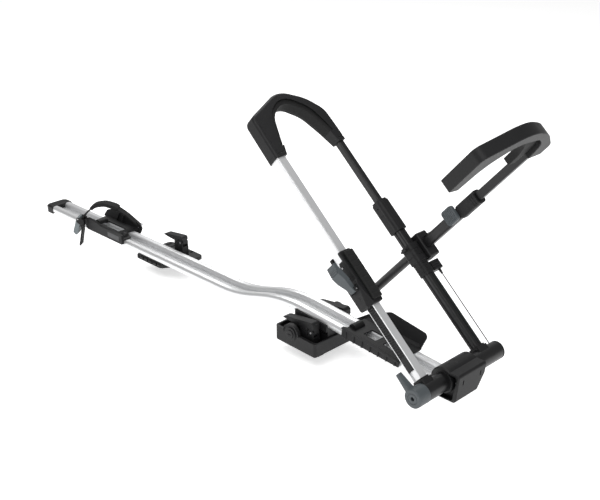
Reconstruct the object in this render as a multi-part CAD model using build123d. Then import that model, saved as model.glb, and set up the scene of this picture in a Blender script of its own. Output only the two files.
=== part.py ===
from build123d import *
import math
import os

# Roof mounted bike carrier, in millimetres.
# The origin is the middle of the front foot's underside. +X runs along the tray to the
# front housing, +Y to the far side, +Z up.

# Tray: one aluminium extrusion, low at the rear and raised over the front foot
tray_rear_x = -1160
tray_front_x = 404
tray_bend_low_x = -270
tray_bend_high_x = -98
tray_low_z = 30.6
tray_high_z = 82.4
tray_front_z = 45
tray_bend_radius = 400
tray_width = 70.8
rail_width = 24
rail_height = 20
rail_radius = 8
rail_wall = 1.8
web_thickness = 2
web_drop = 4
web_rib_count = 4
web_rib_width = 1.2
web_rib_height = 1
rail_lip = 1.4

# Black cap over the tray's rear end
end_cap_wall = 1.6
end_cap_back = 4
end_cap_near_length = 38
end_cap_far_length = 36
end_cap_corner = 16
end_cap_edge = 6

# Pivot of the hoop at the front end
pivot_x = 424
pivot_z = 72
hoop_angle = 41.6
pivot_tube_radius = 22
pivot_tube_wall = 3
pivot_tube_near_y = -117.5
pivot_tube_far_y = 152.5
pivot_cap_length = 7
pivot_cap_rim = 1.4
pivot_cap_groove = 1
running_clearance = 0.05
face_gap = 0.3
sliding_clearance = 0.4

# Front housing around the middle of the pivot tube
housing_half_width = 50
housing_rear_reach = 40
housing_front_reach = 45
housing_top_rise = 29
housing_drop = 42
housing_hood_radius = 34
housing_corner = 12
housing_edge = 2.5
valley_near_y = -26
valley_low_y = -7
valley_far_y = 45
valley_depth = 11
valley_rise = 0.2
housing_recess_depth = 13
housing_slot_width = 4
housing_slot_height = 13
housing_slot_depth = 3
housing_slot_pitch = 62
bush_length = 12
bush_wall = 2.2
lock_radius = 4.5
lock_length = 9
lock_key_width = 1.6
lock_key_depth = 2

# Grey release lever at the near end of the pivot tube
lever_hub_length = 34.7
lever_hub_radius = 22.5
lever_hub_hole_radius = 5
lever_hub_hole_depth = 12
lever_ring_radius = 13
lever_ring_depth = 1.2
lever_finger_reach = 62
lever_finger_width = 17
lever_finger_thickness = 22
lever_tip_width = 9.5
lever_tip_thickness = 13
lever_finger_angle = 143
lever_finger_rib_count = 6
lever_finger_rib_depth = 1.2
lever_spigot_length = 9
shaft_radius = 5
drum_radius = 11
drum_length = 10
drum_groove = 2

# Legs of the hoop, measured along the leg from the pivot
leg_y = 100
bracket_foot_width = 33
bracket_foot_depth = 38
bracket_foot_top = 25
bracket_neck_width = 27
bracket_neck_depth = 32
bracket_neck_top = 29
bracket_corner = 4
leg_start = 23
ratchet_width = 20
ratchet_depth = 26.4
ratchet_end = 480
ratchet_wall = 2
ratchet_corner = 2
strip_rim = 1.6
strip_face_edge = 3
strip_thickness = 4
strip_start = 52
strip_end = 470
tooth_start = 88
tooth_pitch = 6
tooth_height = 1.8
sleeve_start = 290
sleeve_end = 650
sleeve_width = 26
sleeve_depth = 31
sleeve_wall = 1.6
sleeve_corner = 6
sleeve_face_corner = 2.5
sleeve_groove = 1
sleeve_groove_width = 1.2

# Slider with its ribbed grip and grey paddle, fixed to the lower end of the sleeve
slider_start = 218
slider_end = 356
slider_inner_y = -81
slider_outer_y = -122
slider_depth = 42
slider_upper_inset = 4.5
slider_cut_start = 11
slider_cut_rise = 46
slider_cut_in = 10
slider_cut_back = 13
slider_window_low = 72
slider_window_high = 117
slider_window_front = 14
slider_window_rear = -15.5
slider_window_depth = 22
slider_foot_length = 58
slider_corner = 5
grip_width = 28
grip_thickness = 7
grip_margin = 8
grip_rib_count = 9
grip_rib_gap = 3
grip_rib_depth = 3.5
grip_corner = 3.4
paddle_pivot = 266
paddle_tip = 338
paddle_pivot_y = -127
paddle_tip_y = -147
paddle_thickness = 9
paddle_foot_width = 18
paddle_middle = 3
paddle_width = 29
paddle_corner = 4
paddle_rib_count = 5
paddle_pin_radius = 2
paddle_ear_width = 4
pawl_reach = 26
pawl_thickness = 3
pawl_width = 12
pawl_skin = 1.5
pawl_swing = 4.5
pawl_arm_rise = 4
pawl_arm_drop = 2
pawl_room = 5
rivet_radius = 1.8
rivet_length = 3
rivet_places = (296, 322)
mark_size = 9

# Moulded head of the hoop
head_start = 615
head_far_start = 610
head_outer_near_y = -115.5
head_outer_far_y = 110.5
head_corner_s = 729
head_corner_y = -113
head_apex_s = 779
head_apex_y = 4
head_far_s = 742
head_far_y = 72
head_near_inner_y = -83
head_far_inner_y = 89
head_throat_near = 665
head_throat_far = 655
head_near_throat_y = 66
head_far_throat_y = 76
head_inner_s = 750
head_inner_y = 6
head_inner_half = 46
head_near_side_s = 722
head_far_side_y = 56
head_far_side_s = 708
head_far_leg_y = 106
head_far_leg_s = 700
head_outer_shares = (0, 0.12, 0.42, 0.4, 0.3, 0)
head_inner_shares = (0, 0.3, 0.3, 0.45, 0.4, 0.3, 0)
head_depth = 38
head_edge = 7
head_lip = 1
head_lip_length = 9
head_seam = 1.4
head_seam_end = 725
head_seam_inset = 9.5
head_far_half = 13.5
head_taper_s = 700
head_taper_y = 30
pad_thickness = 11
pad_depth = 25
pad_recess = 5

# Far leg
far_tube_width = 25
far_tube_end = 420
far_tube_corner = 6
far_tube_groove = 1.6
far_tube_groove_width = 5
rod_width = 16
rod_depth = 18
rod_start = 200
rod_end = 655
rod_corner = 3
collar_start = 350
collar_end = 437
collar_width = 35
collar_corner = 9
collar_lip = 5
collar_spine = 2
collar_hole_radius = 2
collar_mark_depth = 0.8
junction_start = 228
junction_ring_start = 262
junction_end = 309
junction_width = 35
junction_low_width = 31
junction_corner = 9
junction_wide_rings = 3
junction_narrow_rings = 5
junction_groove = 1.4
junction_groove_width = 1.6
flange_length = 5
flange_reach = 9

# Release cable along the far leg
boss_start = 228
boss_length = 23.5
boss_width = 32.5
boss_depth = 24
boss_rear = -10
boss_corner = 6
boss_rib_count = 4
boss_rib_gap = 2
boss_rib_depth = 2
ferrule_radius = 3.4
ferrule_length = 13
ferrule_y = 138
ferrule_rise = 5
cable_radius = 1.2
cable_exit_y = 137
cable_exit_rise = 5
gland_radius = 4
gland_length = 4

# Second arm, square to the hoop, measured from its pivot
arm_s = 293
arm_y = 134
block_depth = 34
block_near_y = 117.5
block_far_y = 152
block_length = 65
block_low_reach = 34
block_front_chamfer = 3
block_width = 50
block_chamfer = 13
block_edge = 2
arm_pin_radius = 7
arm_pin_head_radius = 12
arm_pin_head = 3
low_tube_radius = 11.4
low_tube_wall = 1.8
low_tube_length = 240
low_plug_length = 8
top_tube_width = 27
top_tube_depth = 22
top_tube_wall = 2
top_tube_start = 18
top_tube_length = 228
top_tube_corner = 7
plug_start = 27
plug_length = 22
plug_width = 16
plug_rise = 1.4
arm_collar_start = 146
arm_collar_width = 33
arm_collar_depth = 28
arm_collar_corner = 9
arm_collar_groove = 1.4
arm_collar_grooves = 2
button_start = 124
button_length = 38
button_width = 38
button_offset = -6
button_frame = 4
button_stem_width = 10
button_stem_length = 12
button_rise = 8.8
button_corner = 8
button_rib_count = 6
button_rib_depth = 1.2
button_travel = 2.2
arm_rod_width = 20
arm_rod_depth = 15
arm_rod_start = 90
arm_rod_end = 436
arm_rod_corner = 2.5
arm_rod_hole_radius = 3.6
arm_rod_hole_h = 352
arm_rod_groove = 1
arm_rod_groove_width = 3

# Hook at the end of the second arm
hook_near_y = -149
hook_near_h = 401
hook_corner_y = -151
hook_corner_h = 514
hook_apex_y = -26
hook_apex_h = 555
hook_shoulder_y = 64
hook_shoulder_h = 518
hook_far_y = 149
hook_far_h = 448
hook_far_end_h = 412
hook_near_inner_y = -113
hook_throat_y = -102
hook_throat_h = 470
hook_inner_near_y = -42
hook_inner_h = 520
hook_inner_far_y = 50
hook_inner_far_h = 503
hook_far_inner_y = 88
hook_far_inner_h = 470
hook_far_leg_y = 104
hook_near_inner_h = 393
hook_far_side_y = 99
hook_far_side_h = 437
hook_low_reach = 17
hook_pad_end_h = 383
hook_pad_inner_y = 76
hook_pad_reach = 27
hook_width = 29
hook_edge = 5
hook_pad_width = 17
hook_shares = (0.1, 0.12, 0.45, 0.4, 0.4, 0.12, 0.1, 0.3, 0.4, 0.4, 0.45, 0.4, 0.1)
hook_pad_shares = (0.1, 0.4, 0.4, 0.4, 0.3, 0.3, 0.4, 0.4, 0.4, 0.4, 0.1)

# Front foot on the load bar
foot_half_length = 70
foot_half_width = 85
foot_rear_height = 41
foot_front_height = 36
foot_wall = 5
foot_floor = 12
foot_corner = 12
foot_front_corner = 6
foot_front_lift = 1
foot_pad_height = 5
foot_pad_inset = 8
foot_rim_x = -12
foot_rim_z = 37
foot_rim_radius = 26
foot_rim_thickness = 8
foot_rim_lip = 2
knob_radius = 11
knob_length = 7
knob_boss_radius = 17
knob_boss_length = 3
knob_slot_width = 3
knob_slot_depth = 1.5
knob_shaft_radius = 4
nub_length = 14
nub_width = 22
saddle_half_width = 34
saddle_rear_x = -44
saddle_front_x = 64
saddle_lip_height = 9
saddle_lip_thickness = 4
saddle_rib_count = 3
saddle_rib_depth = 3

# Clamps that close on the load bars: two at the front foot, one at the rear
clamp_length = 107
clamp_rise = 38
clamp_front_x = 47
clamp_front_z = 40
clamp_y = 56
clamp_width = 22
clamp_pin_radius = 2.5
clamp_pin_setback = 10
clamp_ear_width = 3
clamp_gap = 0.6
rear_clamp_share = 0.8
clamp_top_shares = ((-1.0, 0.55), (-0.9, 0.68), (-0.07, 1.0), (-0.01, 0.87))
clamp_under_shares = ((-0.42, 0.36), (-0.8, 0.45), (-0.93, 0.5))
rear_clamp_front_x = -590
rear_clamp_front_z = 45
rear_clamp_y = 60

# Rear foot
rear_foot_x = -630.5
rear_foot_length = 149
rear_foot_near_y = -34
rear_foot_far_y = 98
rear_foot_top = 15
rear_foot_corner = 14
rear_foot_step_x = -590
rear_foot_step_y = 20
rear_foot_slot_count = 5
rear_foot_slot_width = 6
rear_foot_slot_length = 22
rear_foot_slot_depth = 3
rear_foot_hole_x = 31.5
rear_foot_hole_y = 88
rear_foot_hole_radius = 4.5
rear_saddle_length = 90
rear_saddle_half_width = 30

# Front wheel cradle, in the frame of the sloping front tray
front_cradle_rear = 115
front_cradle_front = 292
cradle_floor = 3
cradle_wall = 4
cradle_inner_y = 37
front_wall_drop = 5
front_wall_rise = 24
front_wing_base_y = 38
front_wing_lean = 24
front_wing_rise = 59
front_wing_corner = 9
cradle_window_width = 31
front_window_length = 39
front_window_gap = 21
wall_rib_count = 7
wall_rib_width = 3
wall_rib_depth = 2
cradle_bump_radius = 12
cradle_skirt = 14
cradle_rail_gap = 0.35
wing_recess_depth = 2

# Rear wheel cradle, sliding on the level part of the tray
rear_cradle_x = -860
rear_near_length = 170
rear_wall_low = 30
rear_wall_high = 66
rear_wall_dip = 58
rear_far_length = 186
rear_wing_lean = 21.8
rear_wing_rise = 48
rear_window_length = 88
rear_window_width = 27
label_length = 54
label_height = 14
label_thickness = 1
label_setback = 14
arch_width = 34
arch_height = 30
arch_thickness = 4
arch_depth = 3

# Rubber strap across the wheel, in an upright plane turned from the tray
strap_turn = 35
strap_x = -945
strap_y = -48
strap_width = 25
strap_thickness = 4
strap_pad_width = 29
strap_pad_thickness = 10
strap_bend_shares = (5, 10, 10, 10, 4, 4, 12)
strap_shares = ((1.03, 0.17), (0.81, 0.62), (0.605, 0.935), (0.435, 1.026), (0.26, 0.948), (0.068, 0.532),
                (0.017, 0.325), (0.0, -0.182), (-0.051, -0.766))
buckle_width = 32
buckle_wall = 3
buckle_pin_radius = 1.8
anchor_radius = 3
anchor_share = 0.01

# One overrun serves all cuts
overrun = 5

os.makedirs("parts", exist_ok=True)


def shaped(shares, start, size):
    """Outline points at shares of a size, measured from a start."""
    return [(start[0] + across * size[0], start[1] + up * size[1]) for across, up in shares]


def eased(points, shares):
    """Corner radii that take up a share of the shorter side beside each corner."""
    radii = []
    for place, share in enumerate(shares):
        corner = Vector(*points[place])
        before = Vector(*points[place - 1]) - corner
        after = Vector(*points[(place + 1) % len(points)]) - corner
        half_angle = math.radians(before.get_angle(after)) / 2
        radii.append(share * min(before.length, after.length) * math.tan(half_angle))
    return radii


def outline(plane, points, radii=0):
    """A face with the given corners, rounded one by one."""
    if radii == 0:
        return make_face(plane * Polyline(*points, close=True))
    return make_face(plane * FilletPolyline(*points, radius=radii, close=True))


def prism(plane, points, depth, radii=0):
    """A prism that rises from a plane along its normal."""
    return extrude(outline(plane, points, radii), depth, dir=plane.z_dir)


def side_prism(points, y, radii=0):
    """A prism along Y; the points are (x, z)."""
    plane = Plane(origin=(0, y[1], 0), x_dir=(1, 0, 0), z_dir=(0, -1, 0))
    return prism(plane, points, y[1] - y[0], radii)


def plan_prism(points, z, radii=0):
    """A prism along Z; the points are (x, y)."""
    return prism(Plane.XY.offset(z[0]), points, z[1] - z[0], radii)


def cross_prism(points, x, radii=0):
    """A prism along X; the points are (y, z)."""
    return prism(Plane.YZ.offset(x[0]), points, x[1] - x[0], radii)


def block(x, y, z, corner=0, along=Axis.Z):
    """A box between pairs of limits, with the edges along one axis rounded."""
    middle = Pos((x[0] + x[1]) / 2, (y[0] + y[1]) / 2, (z[0] + z[1]) / 2)
    solid = middle * Box(x[1] - x[0], y[1] - y[0], z[1] - z[0])
    if corner:
        solid = fillet(solid.edges().filter_by(along), corner)
    return solid


def rod(radius, start, end):
    """A round bar between two points."""
    run = Vector(*end) - Vector(*start)
    return extrude(Plane(origin=start, z_dir=run) * Circle(radius), run.length)


def bar(width, depth, start, end, y=0, corner=0):
    """An upright bar of depth along X and width along Y, with rounded long edges."""
    limits = (y - width / 2, y + width / 2)
    return block((-depth / 2, depth / 2), limits, (start, end), corner)


def write(shape, name):
    """One node, as its own STEP file."""
    export_step(shape, "parts/" + name + ".step")


# Frames that the pieces are built in
hoop_frame = Location((pivot_x, 0, pivot_z), (0, hoop_angle - 90, 0))
arm_frame = hoop_frame * Location((0, arm_y, arm_s), (0, 90, 0))
tray_slope = math.degrees(math.atan2(tray_high_z - tray_front_z, tray_front_x - tray_bend_high_x))
tray_over_foot_z = tray_high_z + tray_bend_high_x * math.tan(math.radians(tray_slope))
front_frame = Location((0, 0, tray_over_foot_z), (0, tray_slope, 0))
strap_frame = Location((strap_x, strap_y, 0), (0, 0, strap_turn))
rail_y = (tray_width - rail_width) / 2
tray_half = tray_width / 2
rail_top = rail_height / 2
tray_bottom_z = tray_low_z - rail_top


def rails(wall, y_sign):
    """Cross-section of one rail; a wall above zero gives its hollow."""
    width = rail_width - 2 * wall
    height = rail_height - 2 * wall
    return Pos(y_sign * rail_y, 0) * RectangleRounded(width, height, rail_radius - wall)


def tray_section(hollow):
    """Cross-section of the tray, width along X and height along Y."""
    web_width = 2 * rail_y - rail_width / 2
    section = rails(0, -1) + rails(0, 1)
    section += Pos(0, -web_drop) * Rectangle(web_width, web_thickness)
    for place in range(web_rib_count):
        across = (place - (web_rib_count - 1) / 2) * web_rib_width * 3
        rise = -web_drop + (web_thickness + web_rib_height) / 2
        section += Pos(across, rise) * Rectangle(web_rib_width, web_rib_height)
    lip_y = rail_y - rail_width / 2
    for sign in (-1, 1):
        section += Pos(sign * lip_y, rail_top - rail_radius) * Rectangle(rail_lip, rail_lip)
        if hollow:
            section -= rails(rail_wall, sign)
    return section


def tray_path():
    """Centreline of the tray in the upright middle plane."""
    points = (
        (tray_rear_x, 0, tray_low_z),
        (tray_bend_low_x, 0, tray_low_z),
        (tray_bend_high_x, 0, tray_high_z),
        (tray_front_x, 0, tray_front_z),
    )
    return FilletPolyline(*points, radius=tray_bend_radius)


def wheel_tray():
    """Two hollow rails joined by a ribbed web, swept along the bent centreline."""
    plane = Plane(origin=(tray_rear_x, 0, tray_low_z), x_dir=(0, 1, 0), z_dir=(1, 0, 0))
    return sweep(plane * tray_section(True), path=tray_path())


def tray_core_rear():
    """Solid outline of the tray's rear end, for what fits over it."""
    plane = Plane(origin=(tray_rear_x, 0, tray_low_z), x_dir=(0, 1, 0), z_dir=(1, 0, 0))
    return extrude(plane * tray_section(False), end_cap_near_length * 2, dir=(1, 0, 0))


def tray_core_front(length):
    """Solid outline of the tray's front end, a length back from its end."""
    run = tray_front_x / math.cos(math.radians(tray_slope))
    plane = Plane(origin=(run - length, 0, 0), x_dir=(0, 1, 0), z_dir=(1, 0, 0))
    return front_frame * extrude(plane * tray_section(False), length, dir=(1, 0, 0))


def tray_end_cap():
    """Moulded cap with rounded rear corners and a slanted front edge."""
    half = tray_half + end_cap_wall
    back_x = tray_rear_x - end_cap_back
    points = (
        (back_x, -half),
        (back_x + end_cap_near_length, -half),
        (back_x + end_cap_far_length, half),
        (back_x, half),
    )
    radii = (end_cap_corner, 0, 0, end_cap_corner)
    height = rail_top + end_cap_wall
    cap = plan_prism(points, (tray_low_z - height, tray_low_z + height), radii)
    cap = fillet(cap.faces().sort_by(Axis.Z)[-1].edges(), end_cap_edge)
    return cap - tray_core_rear()


def tray_z(x):
    """Height of the tray's centreline along the sloping front part."""
    return tray_over_foot_z - x * math.tan(math.radians(tray_slope))


def front_housing():
    """Housing that joins the tray to the pivot tube, with a hooded top."""
    x_rear = pivot_x - housing_rear_reach
    x_front = pivot_x + housing_front_reach
    z_top = pivot_z + housing_top_rise
    z_low = pivot_z - housing_drop
    front_shares = ((0.0, 0.15), (0.0, 0.4), (0.15, 0.75), (0.4, 1.0), (1.0, 1.0), (0.9, 0.0), (0.38, 0.0))
    size = (x_front - x_rear, z_top - z_low)
    points = shaped(front_shares, (x_rear, z_low), size)
    y = (-housing_half_width, housing_half_width)
    radii = (3, 3, 10, 10, 5, 8, 3)
    radii = [housing_corner * value / 10 for value in radii]
    body = side_prism(points, y, radii)
    body += rod(housing_hood_radius, (pivot_x, y[0], pivot_z), (pivot_x, y[1], pivot_z))
    body = split(body, Plane(origin=(x_rear, 0, 0), z_dir=(1, 0, 0)))
    chamfer_size = housing_corner * 2
    corner = (
        (y[1] - chamfer_size, z_low - overrun),
        (y[1] + overrun, z_low - overrun),
        (y[1] + overrun, z_low + chamfer_size * 2),
        (y[1], z_low + chamfer_size * 2),
        (y[1] - chamfer_size, z_low),
    )
    body -= cross_prism(corner, (pivot_x, x_front + overrun))
    near_rim = body.faces().sort_by(Axis.Y)[0].edges()
    body = chamfer(near_rim, housing_edge)
    far_rim = body.faces().filter_by(Axis.Y).sort_by(Axis.Y)[-1].edges()
    body = chamfer(far_rim, housing_edge)
    # shallow valley across the hood that fades towards the front
    hood_z = pivot_z + housing_hood_radius
    valley = ((valley_near_y - overrun, hood_z + valley_depth), (valley_near_y, hood_z),
              (valley_low_y, hood_z - valley_depth), (valley_far_y, hood_z),
              (valley_far_y + overrun, hood_z + valley_depth))
    cut = outline(Plane.YZ.offset(x_rear - overrun), valley)
    body -= extrude(cut, x_front - x_rear, dir=(1, 0, valley_rise))
    # bores for the tube and its bushes
    tube_bore = pivot_tube_radius + bush_wall + running_clearance
    body -= rod(tube_bore, (pivot_x, y[0] - overrun, pivot_z), (pivot_x, y[1] + overrun, pivot_z))
    # recess around the front of the tube, with the lock in it
    recess_shares = ((0.42, 0.06), (0.8, 0.06), (0.93, 0.93), (0.42, 0.93))
    recess = side_prism(shaped(recess_shares, (x_rear, z_low), size), (y[0] - overrun, y[0] + housing_recess_depth),
                        (0, housing_corner / 2, housing_corner / 2, 0))
    sleeve = rod(tube_bore + housing_edge, (pivot_x, y[0], pivot_z), (pivot_x, y[0] + housing_recess_depth, pivot_z))
    body -= recess - sleeve
    body -= lock_space(0)
    # two slots in the sloping front face
    for sign in (-1, 1):
        slot_y = sign * housing_slot_pitch / 2
        slot = block((x_front - housing_slot_depth * 2, x_front + overrun),
                     (slot_y - housing_slot_width / 2, slot_y + housing_slot_width / 2),
                     (pivot_z, pivot_z + housing_slot_height))
        body -= slot
    return body - tray_core_front(tray_front_x - x_rear + overrun)


def lock_centre():
    """Middle of the lock on the floor of the housing's recess."""
    across = pivot_tube_radius + bush_wall + lock_radius + 2 * housing_edge
    return pivot_x + across, -housing_half_width + housing_recess_depth, pivot_z + lock_radius


def lock_space(gap):
    """Space of the lock barrel, grown by a gap."""
    x, y, z = lock_centre()
    front = y - lock_length / 2 - gap
    return rod(lock_radius + gap, (x, front, z), (x, y + lock_length / 2, z))


def housing_lock():
    """Round lock barrel with a key slit."""
    x, y, z = lock_centre()
    front = y - lock_length / 2
    slit = block((x - lock_key_width / 2, x + lock_key_width / 2), (front, front + lock_key_depth),
                 (z - lock_radius / 2, z + lock_radius / 2))
    barrel = rod(lock_radius - running_clearance, (x, front, z), (x, y + lock_length / 2, z))
    return barrel - slit


def pivot_bushes():
    """Two plain bushes between the housing and the tube."""
    rings = []
    for sign in (-1, 1):
        outer_y = sign * housing_half_width
        inner_y = sign * (housing_half_width - bush_length)
        outer = rod(pivot_tube_radius + bush_wall + running_clearance, (pivot_x, inner_y, pivot_z),
                    (pivot_x, outer_y, pivot_z))
        bore = rod(pivot_tube_radius + running_clearance, (pivot_x, inner_y, pivot_z),
                   (pivot_x, outer_y, pivot_z))
        rings.append(outer - bore)
    return Compound(children=rings)


def pivot_tube():
    """Round tube that the hoop turns on."""
    ends = ((pivot_x, pivot_tube_near_y, pivot_z), (pivot_x, pivot_tube_far_y - pivot_cap_length, pivot_z))
    tube = rod(pivot_tube_radius, *ends) - rod(pivot_tube_radius - pivot_tube_wall, *ends)
    return tube - hoop_frame * gland_hole()


def gland_hole():
    """Hole in the top of the tube where the cable goes in."""
    top = pivot_tube_radius + overrun
    inside = pivot_tube_radius - pivot_tube_wall - overrun
    return rod(gland_radius / 2, (cable_exit_rise, cable_exit_y, inside), (cable_exit_rise, cable_exit_y, top))


def pivot_tube_cap():
    """Domed cap with a rim on the far end, bored for the shaft."""
    start = pivot_tube_far_y - pivot_cap_length
    plate = rod(pivot_tube_radius, (pivot_x, start, pivot_z), (pivot_x, pivot_tube_far_y, pivot_z))
    plate = fillet(plate.edges().sort_by(Axis.Y)[-1], pivot_cap_rim)
    ring_start = start + pivot_cap_length / 3
    ring = rod(pivot_tube_radius + overrun, (pivot_x, ring_start, pivot_z),
               (pivot_x, ring_start + pivot_cap_groove, pivot_z))
    ring -= rod(pivot_tube_radius - pivot_cap_groove, (pivot_x, ring_start, pivot_z),
                (pivot_x, ring_start + pivot_cap_groove, pivot_z))
    spigot_y = start - pivot_cap_length / 3
    spigot = rod(pivot_tube_radius - pivot_tube_wall, (pivot_x, spigot_y, pivot_z), (pivot_x, start, pivot_z))
    bore = rod(shaft_radius + running_clearance, (pivot_x, spigot_y, pivot_z),
               (pivot_x, pivot_tube_far_y - pivot_cap_length / 3, pivot_z))
    return plate - ring + spigot - bore


def release_lever():
    """Hub on the tube's near end with a ribbed finger that points up and back."""
    near_y = pivot_tube_near_y - face_gap - lever_hub_length
    far_y = pivot_tube_near_y - face_gap
    hub = rod(lever_hub_radius, (pivot_x, near_y, pivot_z), (pivot_x, far_y, pivot_z))
    hub = fillet(hub.edges().sort_by(Axis.Y)[0], pivot_cap_rim * 2)
    ring = rod(lever_ring_radius, (pivot_x, near_y, pivot_z), (pivot_x, near_y + lever_ring_depth, pivot_z))
    ring -= rod(lever_ring_radius - lever_ring_depth, (pivot_x, near_y, pivot_z),
                (pivot_x, near_y + lever_ring_depth, pivot_z))
    hub -= ring
    finger_frame = Location((pivot_x, 0, pivot_z), (0, 90 - lever_finger_angle, 0))
    half = lever_finger_width / 2
    middle = near_y + lever_finger_thickness / 2
    finger_y = (middle - lever_finger_thickness / 2, middle + lever_finger_thickness / 2)
    base = Plane(origin=(0, middle, 0)) * RectangleRounded(lever_finger_width, lever_finger_thickness, half / 3)
    tip = Plane(origin=(0, middle, lever_finger_reach)) * RectangleRounded(lever_tip_width, lever_tip_thickness, half / 3)
    finger = loft([base, tip])
    pitch = (lever_finger_reach - lever_hub_radius) / (lever_finger_rib_count + 1)
    for place in range(lever_finger_rib_count):
        height = lever_hub_radius + (place + 1) * pitch
        share = height / lever_finger_reach
        edge_x = (lever_finger_width + (lever_tip_width - lever_finger_width) * share) / 2 - lever_finger_rib_depth
        edge_y = lever_finger_thickness + (lever_tip_thickness - lever_finger_thickness) * share
        edge_y = middle - edge_y / 2 + lever_finger_rib_depth
        limits = (height - lever_finger_rib_depth / 2, height + lever_finger_rib_depth / 2)
        finger -= block((-half - overrun, -edge_x), finger_y, limits)
        finger -= block((-half - overrun, half + overrun), (finger_y[0] - overrun, edge_y), limits)
    lever = hub + finger_frame * finger
    spigot = rod(pivot_tube_radius - pivot_tube_wall - running_clearance, (pivot_x, far_y, pivot_z),
                 (pivot_x, far_y + lever_spigot_length, pivot_z))
    hole = rod(lever_hub_hole_radius, (pivot_x, near_y, pivot_z),
               (pivot_x, near_y + lever_hub_hole_depth, pivot_z))
    socket_y = far_y + lever_spigot_length
    socket = rod(shaft_radius, (pivot_x, near_y + 2 * lever_hub_hole_depth, pivot_z),
                 (pivot_x, socket_y, pivot_z))
    return lever + spigot - hole - socket


def release_shaft():
    """Shaft from the lever to the far cap, inside the tube."""
    start = pivot_tube_near_y - face_gap - lever_hub_length + 2 * lever_hub_hole_depth
    end = pivot_tube_far_y - pivot_cap_length / 3 - face_gap
    return rod(shaft_radius, (pivot_x, start, pivot_z), (pivot_x, end, pivot_z))


def cable_drum():
    """Grooved drum on the shaft that winds the release cable."""
    ends = ((pivot_x, cable_exit_y - drum_length / 2, pivot_z), (pivot_x, cable_exit_y + drum_length / 2, pivot_z))
    groove_ends = ((pivot_x, cable_exit_y - drum_groove, pivot_z), (pivot_x, cable_exit_y + drum_groove, pivot_z))
    groove = rod(drum_radius + overrun, *groove_ends) - rod(drum_radius - drum_groove, *groove_ends)
    return rod(drum_radius, *ends) - groove - rod(shaft_radius, *ends)


def leg_bracket(y, width, depth):
    """Stepped collar on the tube that holds the foot of a leg."""
    foot = bar(bracket_foot_width, bracket_foot_depth, 0, bracket_foot_top, y, bracket_corner)
    neck = bar(bracket_neck_width, bracket_neck_depth, 0, bracket_neck_top, y, bracket_corner)
    tube = rod(pivot_tube_radius, (0, y - bracket_foot_width, 0), (0, y + bracket_foot_width, 0))
    pocket = bar(width, depth, leg_start, bracket_neck_top + overrun, y)
    return foot + neck - tube - pocket


def ratchet_bar():
    """Hollow silver bar with a wide groove for the toothed strip on its outer face."""
    outer = bar(ratchet_width, ratchet_depth, leg_start, ratchet_end, -leg_y)
    hollow_y = (-leg_y - ratchet_width / 2 + strip_thickness + ratchet_wall, -leg_y + ratchet_width / 2 - ratchet_wall)
    hollow_half = ratchet_depth / 2 - ratchet_wall
    hollow = block((-hollow_half, hollow_half), hollow_y, (leg_start, ratchet_end))
    return outer - strip_space(leg_start, ratchet_end) - hollow


def strip_space(start, end):
    """Groove of the toothed strip."""
    outer_y = -leg_y - ratchet_width / 2
    limits = (-ratchet_depth / 2 + strip_rim, ratchet_depth / 2 - strip_face_edge)
    return block(limits, (outer_y, outer_y + strip_thickness), (start, end))


def tooth_strip():
    """Black strip with a row of saw teeth across it."""
    outer_y = -leg_y - ratchet_width / 2
    inner_y = outer_y + strip_thickness
    count = int((strip_end - tooth_start) / tooth_pitch)
    points = [(inner_y, strip_start), (outer_y, strip_start), (outer_y, tooth_start)]
    for place in range(count):
        foot = tooth_start + place * tooth_pitch
        points.append((outer_y + tooth_height, foot + tooth_pitch / 4))
        points.append((outer_y + tooth_height, foot + tooth_pitch / 2))
        points.append((outer_y, foot + tooth_pitch * 3 / 4))
        points.append((outer_y, foot + tooth_pitch))
    points.append((outer_y, strip_end))
    points.append((inner_y, strip_end))
    start_x = -ratchet_depth / 2 + strip_rim
    return cross_prism(points, (start_x, ratchet_depth / 2 - strip_face_edge))


def sleeve_outer(start, end, shrink=0, rear_corner=sleeve_corner):
    """Outline of the silver sleeve: round to the rear, flat to the front."""
    half_y = sleeve_width / 2 - shrink
    half_x = sleeve_depth / 2 - shrink
    low_y = -leg_y - half_y
    high_y = -leg_y + half_y
    points = ((-half_x, low_y), (half_x, low_y), (half_x, high_y), (-half_x, high_y))
    face_corner = sleeve_face_corner - shrink
    return plan_prism(points, (start, end), (rear_corner, face_corner, face_corner, rear_corner))


def silver_sleeve():
    """Outer tube of the near leg, over the ratchet bar."""
    tube = sleeve_outer(sleeve_start, sleeve_end)
    tube -= sleeve_outer(sleeve_start, sleeve_end, sleeve_wall, sleeve_face_corner)
    groove_y = -leg_y - sleeve_width / 2 + sleeve_face_corner + sleeve_groove_width
    groove = block((sleeve_depth / 2 - sleeve_groove, sleeve_depth / 2),
                   (groove_y, groove_y + sleeve_groove_width), (sleeve_start, sleeve_end))
    return tube - groove


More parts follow.
